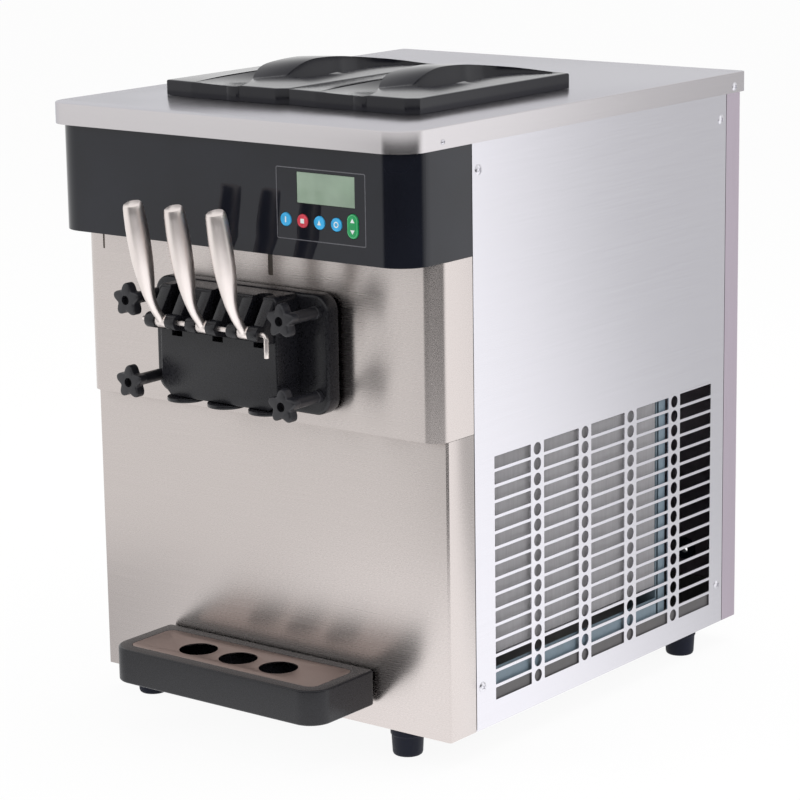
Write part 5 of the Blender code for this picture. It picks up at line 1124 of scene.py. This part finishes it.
# Display window, keys and the frame line round them

FASCIA_FACE = FACE - FASCIA_NOSE
LINE_OUTSIDE = ((0.0790, 0.6080), (0.2055, 0.6890))
LINE_INSIDE = ((0.0801, 0.6091), (0.2044, 0.6879))
PANE_INSET = 0.002
KEY_MARKS = {
    1: [rounded((-0.0009, -0.0034), (0.0009, 0.0034), [0.0008] * 4, 4)],
    2: [rounded((-0.0026, -0.0026), (0.0026, 0.0026), [0.0006] * 4, 4)],
    3: [[(-0.0026, -0.0026), (0.0026, -0.0026), (0, 0.0030)]],
    4: [circle((0, 0), 0.0034, 32), circle((0, 0), 0.0022, 32)],
}
KEY_PAINTS = {1: (KEY_BLUE, "key_blue"), 2: (KEY_RED, "key_red"), 3: (KEY_BLUE, "key_blue"),
              4: (KEY_BLUE, "key_blue")}
RING_OUTSIDE = 0.0010
RING_INSIDE = 0.0017


def display():
    outer = rounded(*LINE_OUTSIDE, [0.002] * 4, 4)
    inner = rounded(*LINE_INSIDE, [0.001] * 4, 4)
    line = prism("frame_line", [outer, inner], FASCIA_FACE - 0.0002, FASCIA_FACE + 0.0006, "Y")
    dressed(line, "display_frame_line", FRAME_GREY, "cabinet")
    low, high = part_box("lcd_window")
    pane = block("pane", (low.x + PANE_INSET, low.y + 0.0003, low.z + PANE_INSET),
                 (high.x - PANE_INSET, high.y - 0.001, high.z - PANE_INSET))
    bevelled(pane, 0.0004, 2)
    join(pane, block("pane_flange", (low.x, high.y - 0.0018, low.z), (high.x, high.y, high.z)))
    dressed(pane, "lcd_pane", LCD_GREEN, "cabinet", ["lcd_window"])


def key_mark(name, loops, centre, body, material=MARK_WHITE):
    """A thin raised sign on a key."""
    placed = [[(centre.x + u, centre.z + v) for u, v in loop] for loop in loops]
    mark = prism(name, placed, centre.y - 0.00012, centre.y + 0.0006, "Y")
    dressed(mark, name, material, body)


def keys():
    for i, loops in KEY_MARKS.items():
        paint, slot = KEY_PAINTS[i]
        low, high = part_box(f"round_key_{i}")
        x, z = (low.x + high.x) / 2, (low.z + high.z) / 2
        front = low.y - high.y
        profile = [(0, 0), (0.0087, 0), (0.0087, -0.0019), (0.0076, -0.0020), (0.0076, front + 0.0008),
                   (0.0074, front + 0.0003), (0.0069, front), (0.0064, front + 0.0001),
                   (0.0058, front + 0.0004), (0.0030, front + 0.0002), (0, front + 0.0001)]
        cap = lathe(f"key_{i}", profile, 48, "Y", (x, high.y, z))
        dressed(cap, f"round_key_{i}_cap", paint, f"key_{i}", [f"round_key_{i}"])
        key_mark(f"round_key_{i}_mark", loops, Vector((x, low.y + 0.0002, z)), f"key_{i}")
    low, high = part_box("rocker_key")
    x, z = (low.x + high.x) / 2, (low.z + high.z) / 2
    wide, tall = (high.x - low.x) / 2, (high.z - low.z) / 2
    outline = rounded((x - wide, z - tall), (x + wide, z + tall), [wide - 0.0001] * 4, 12)
    rocker = bevelled(prism("rocker", [outline], low.y, high.y - 0.004, "Y"), 0.0009, 3)
    stem = block("rocker_stem", (x - 0.0025, high.y - 0.005, z - 0.0025), (x + 0.0025, high.y, z + 0.0025))
    join(rocker, stem)
    dressed(rocker, "rocker_key_cap", KEY_GREEN, "rocker", ["rocker_key"])
    rings = []
    for inset in (RING_OUTSIDE, RING_INSIDE):
        w, t = wide - inset, tall - inset
        rings.append(rounded((x - w, z - t), (x + w, z + t), [w - 0.0001] * 4, 12))
    key_mark("rocker_ring", rings, Vector((0, low.y, 0)), "rocker", KEY_LIME)
    for name, way in {"up": 1, "down": -1}.items():
        arrow = [(-0.0030, 0.0040 * way), (0.0030, 0.0040 * way), (0, 0.0088 * way)]
        key_mark(f"rocker_arrow_{name}", [arrow], Vector((x, low.y, z)), "rocker")


display()
keys()


# Condenser behind the vents

FIN_FRONT = FACE + 0.085
FIN_BACK = FACE + 0.434
FIN_COUNT = 166
FIN_SHEET = 0.0003
FIN_HEIGHT = 0.250
FIN_MIDDLE = 0.240
FRAME_SHEET = 0.0015
FRAME_FOOT = 0.036
FLANGE_SPAN = (0.0055, 0.0200)
WEB_DEPTHS = (0.0060, 0.0045)
RAIL_Z = (0.0765, 0.0990)
TUBE_ROWS = 10
TUBE_FIRST = 0.1275
TUBE_PITCH = 0.025
TUBE_DEPTHS = (0.010, 0.030)
TUBE_RADIUS = 0.0048
TUBE_PAST = 0.008


def condenser():
    """Thin fins on round tubes between two end plates, with the rail they stand behind."""
    low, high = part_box("condenser")
    outside = high.x - FRAME_SHEET
    form = bmesh.new()
    for i in range(FIN_COUNT):
        y = FIN_FRONT + 0.001 + (FIN_BACK - FIN_FRONT - 0.002) * i / (FIN_COUNT - 1)
        made = bmesh.ops.create_cube(form, size=1)["verts"]
        bmesh.ops.scale(form, vec=(outside - low.x, FIN_SHEET, FIN_HEIGHT), verts=made)
        bmesh.ops.translate(form, vec=((low.x + outside) / 2, y, FIN_MIDDLE), verts=made)
    fins = from_bmesh("fins", form)
    dressed(fins, "condenser_fins", FIN_PALE, "cabinet", ["condenser"], 30)
    for row in range(TUBE_ROWS):
        for depth in TUBE_DEPTHS:
            x, z = low.x + depth, TUBE_FIRST + TUBE_PITCH * row
            start, end = (x, FIN_FRONT - TUBE_PAST, z), (x, FIN_BACK + TUBE_PAST, z)
            pipe = rod(f"condenser_tube_{row}_{round(depth * 1000)}", TUBE_RADIUS, start, end, 16, 0.001)
            dressed(pipe, pipe.name, COPPER, "cabinet")
    near, far = [FIN_BACK + d for d in FLANGE_SPAN]
    inner, outer = [outside - d for d in WEB_DEPTHS]
    plates = block("front_plate", (low.x, FIN_FRONT - FRAME_SHEET, FRAME_FOOT), (high.x, FIN_FRONT, high.z))
    join(plates, block("end_plate", (low.x, FIN_BACK, FRAME_FOOT), (high.x, FIN_BACK + FRAME_SHEET, high.z)))
    join(plates, block("end_flange", (outside, near, FRAME_FOOT), (high.x, far, high.z)))
    join(plates, block("end_web", (inner, FIN_BACK + 0.001, FRAME_FOOT), (outer, far, high.z)))
    join(plates, block("end_return", (inner, far - FRAME_SHEET, FRAME_FOOT), (high.x, far, high.z)))
    low_z, high_z = RAIL_Z
    join(plates, block("rail", (outside, FIN_FRONT - 0.001, low_z), (high.x, FIN_BACK + 0.001, high_z)))
    dressed(bevelled(plates, 0.0003, 2), "condenser_frame", FRAME_TEAL, "cabinet")


condenser()


# Finishes of the frame's own pieces that stay as they are

PLAIN = {
    ZINC: ["inner_frame", "tray_bracket", "fan_shroud"],
    PAN_GREY: ["base_pan"],
    REAR_STEEL: ["rear_panel"],
    RUBBER: ["cord_gland", "head_gasket", "drive_belt"],
    SIDE_STEEL: ["hopper_left", "hopper_right", "freezing_cylinder_left", "freezing_cylinder_right",
                 "beater_left", "beater_right", "cylinder_plate"],
    WHITE_PLASTIC: ["feed_tube_left", "feed_tube_right"],
    HEAD_BLACK: ["draw_piston_left", "draw_piston_centre", "draw_piston_right"],
    BOARD: ["control_board"],
    FIN_METAL: ["motor_pulley", "gearbox_pulley"],
    CAST: ["compressor", "gearbox", "drive_motor"],
    KNOB_BLACK: ["fan"],
}
for material, names in PLAIN.items():
    for name in names:
        NODES[name].data.materials.clear()
        NODES[name].data.materials.append(material)

bpy.context.scene.view_settings.view_transform = "Standard"
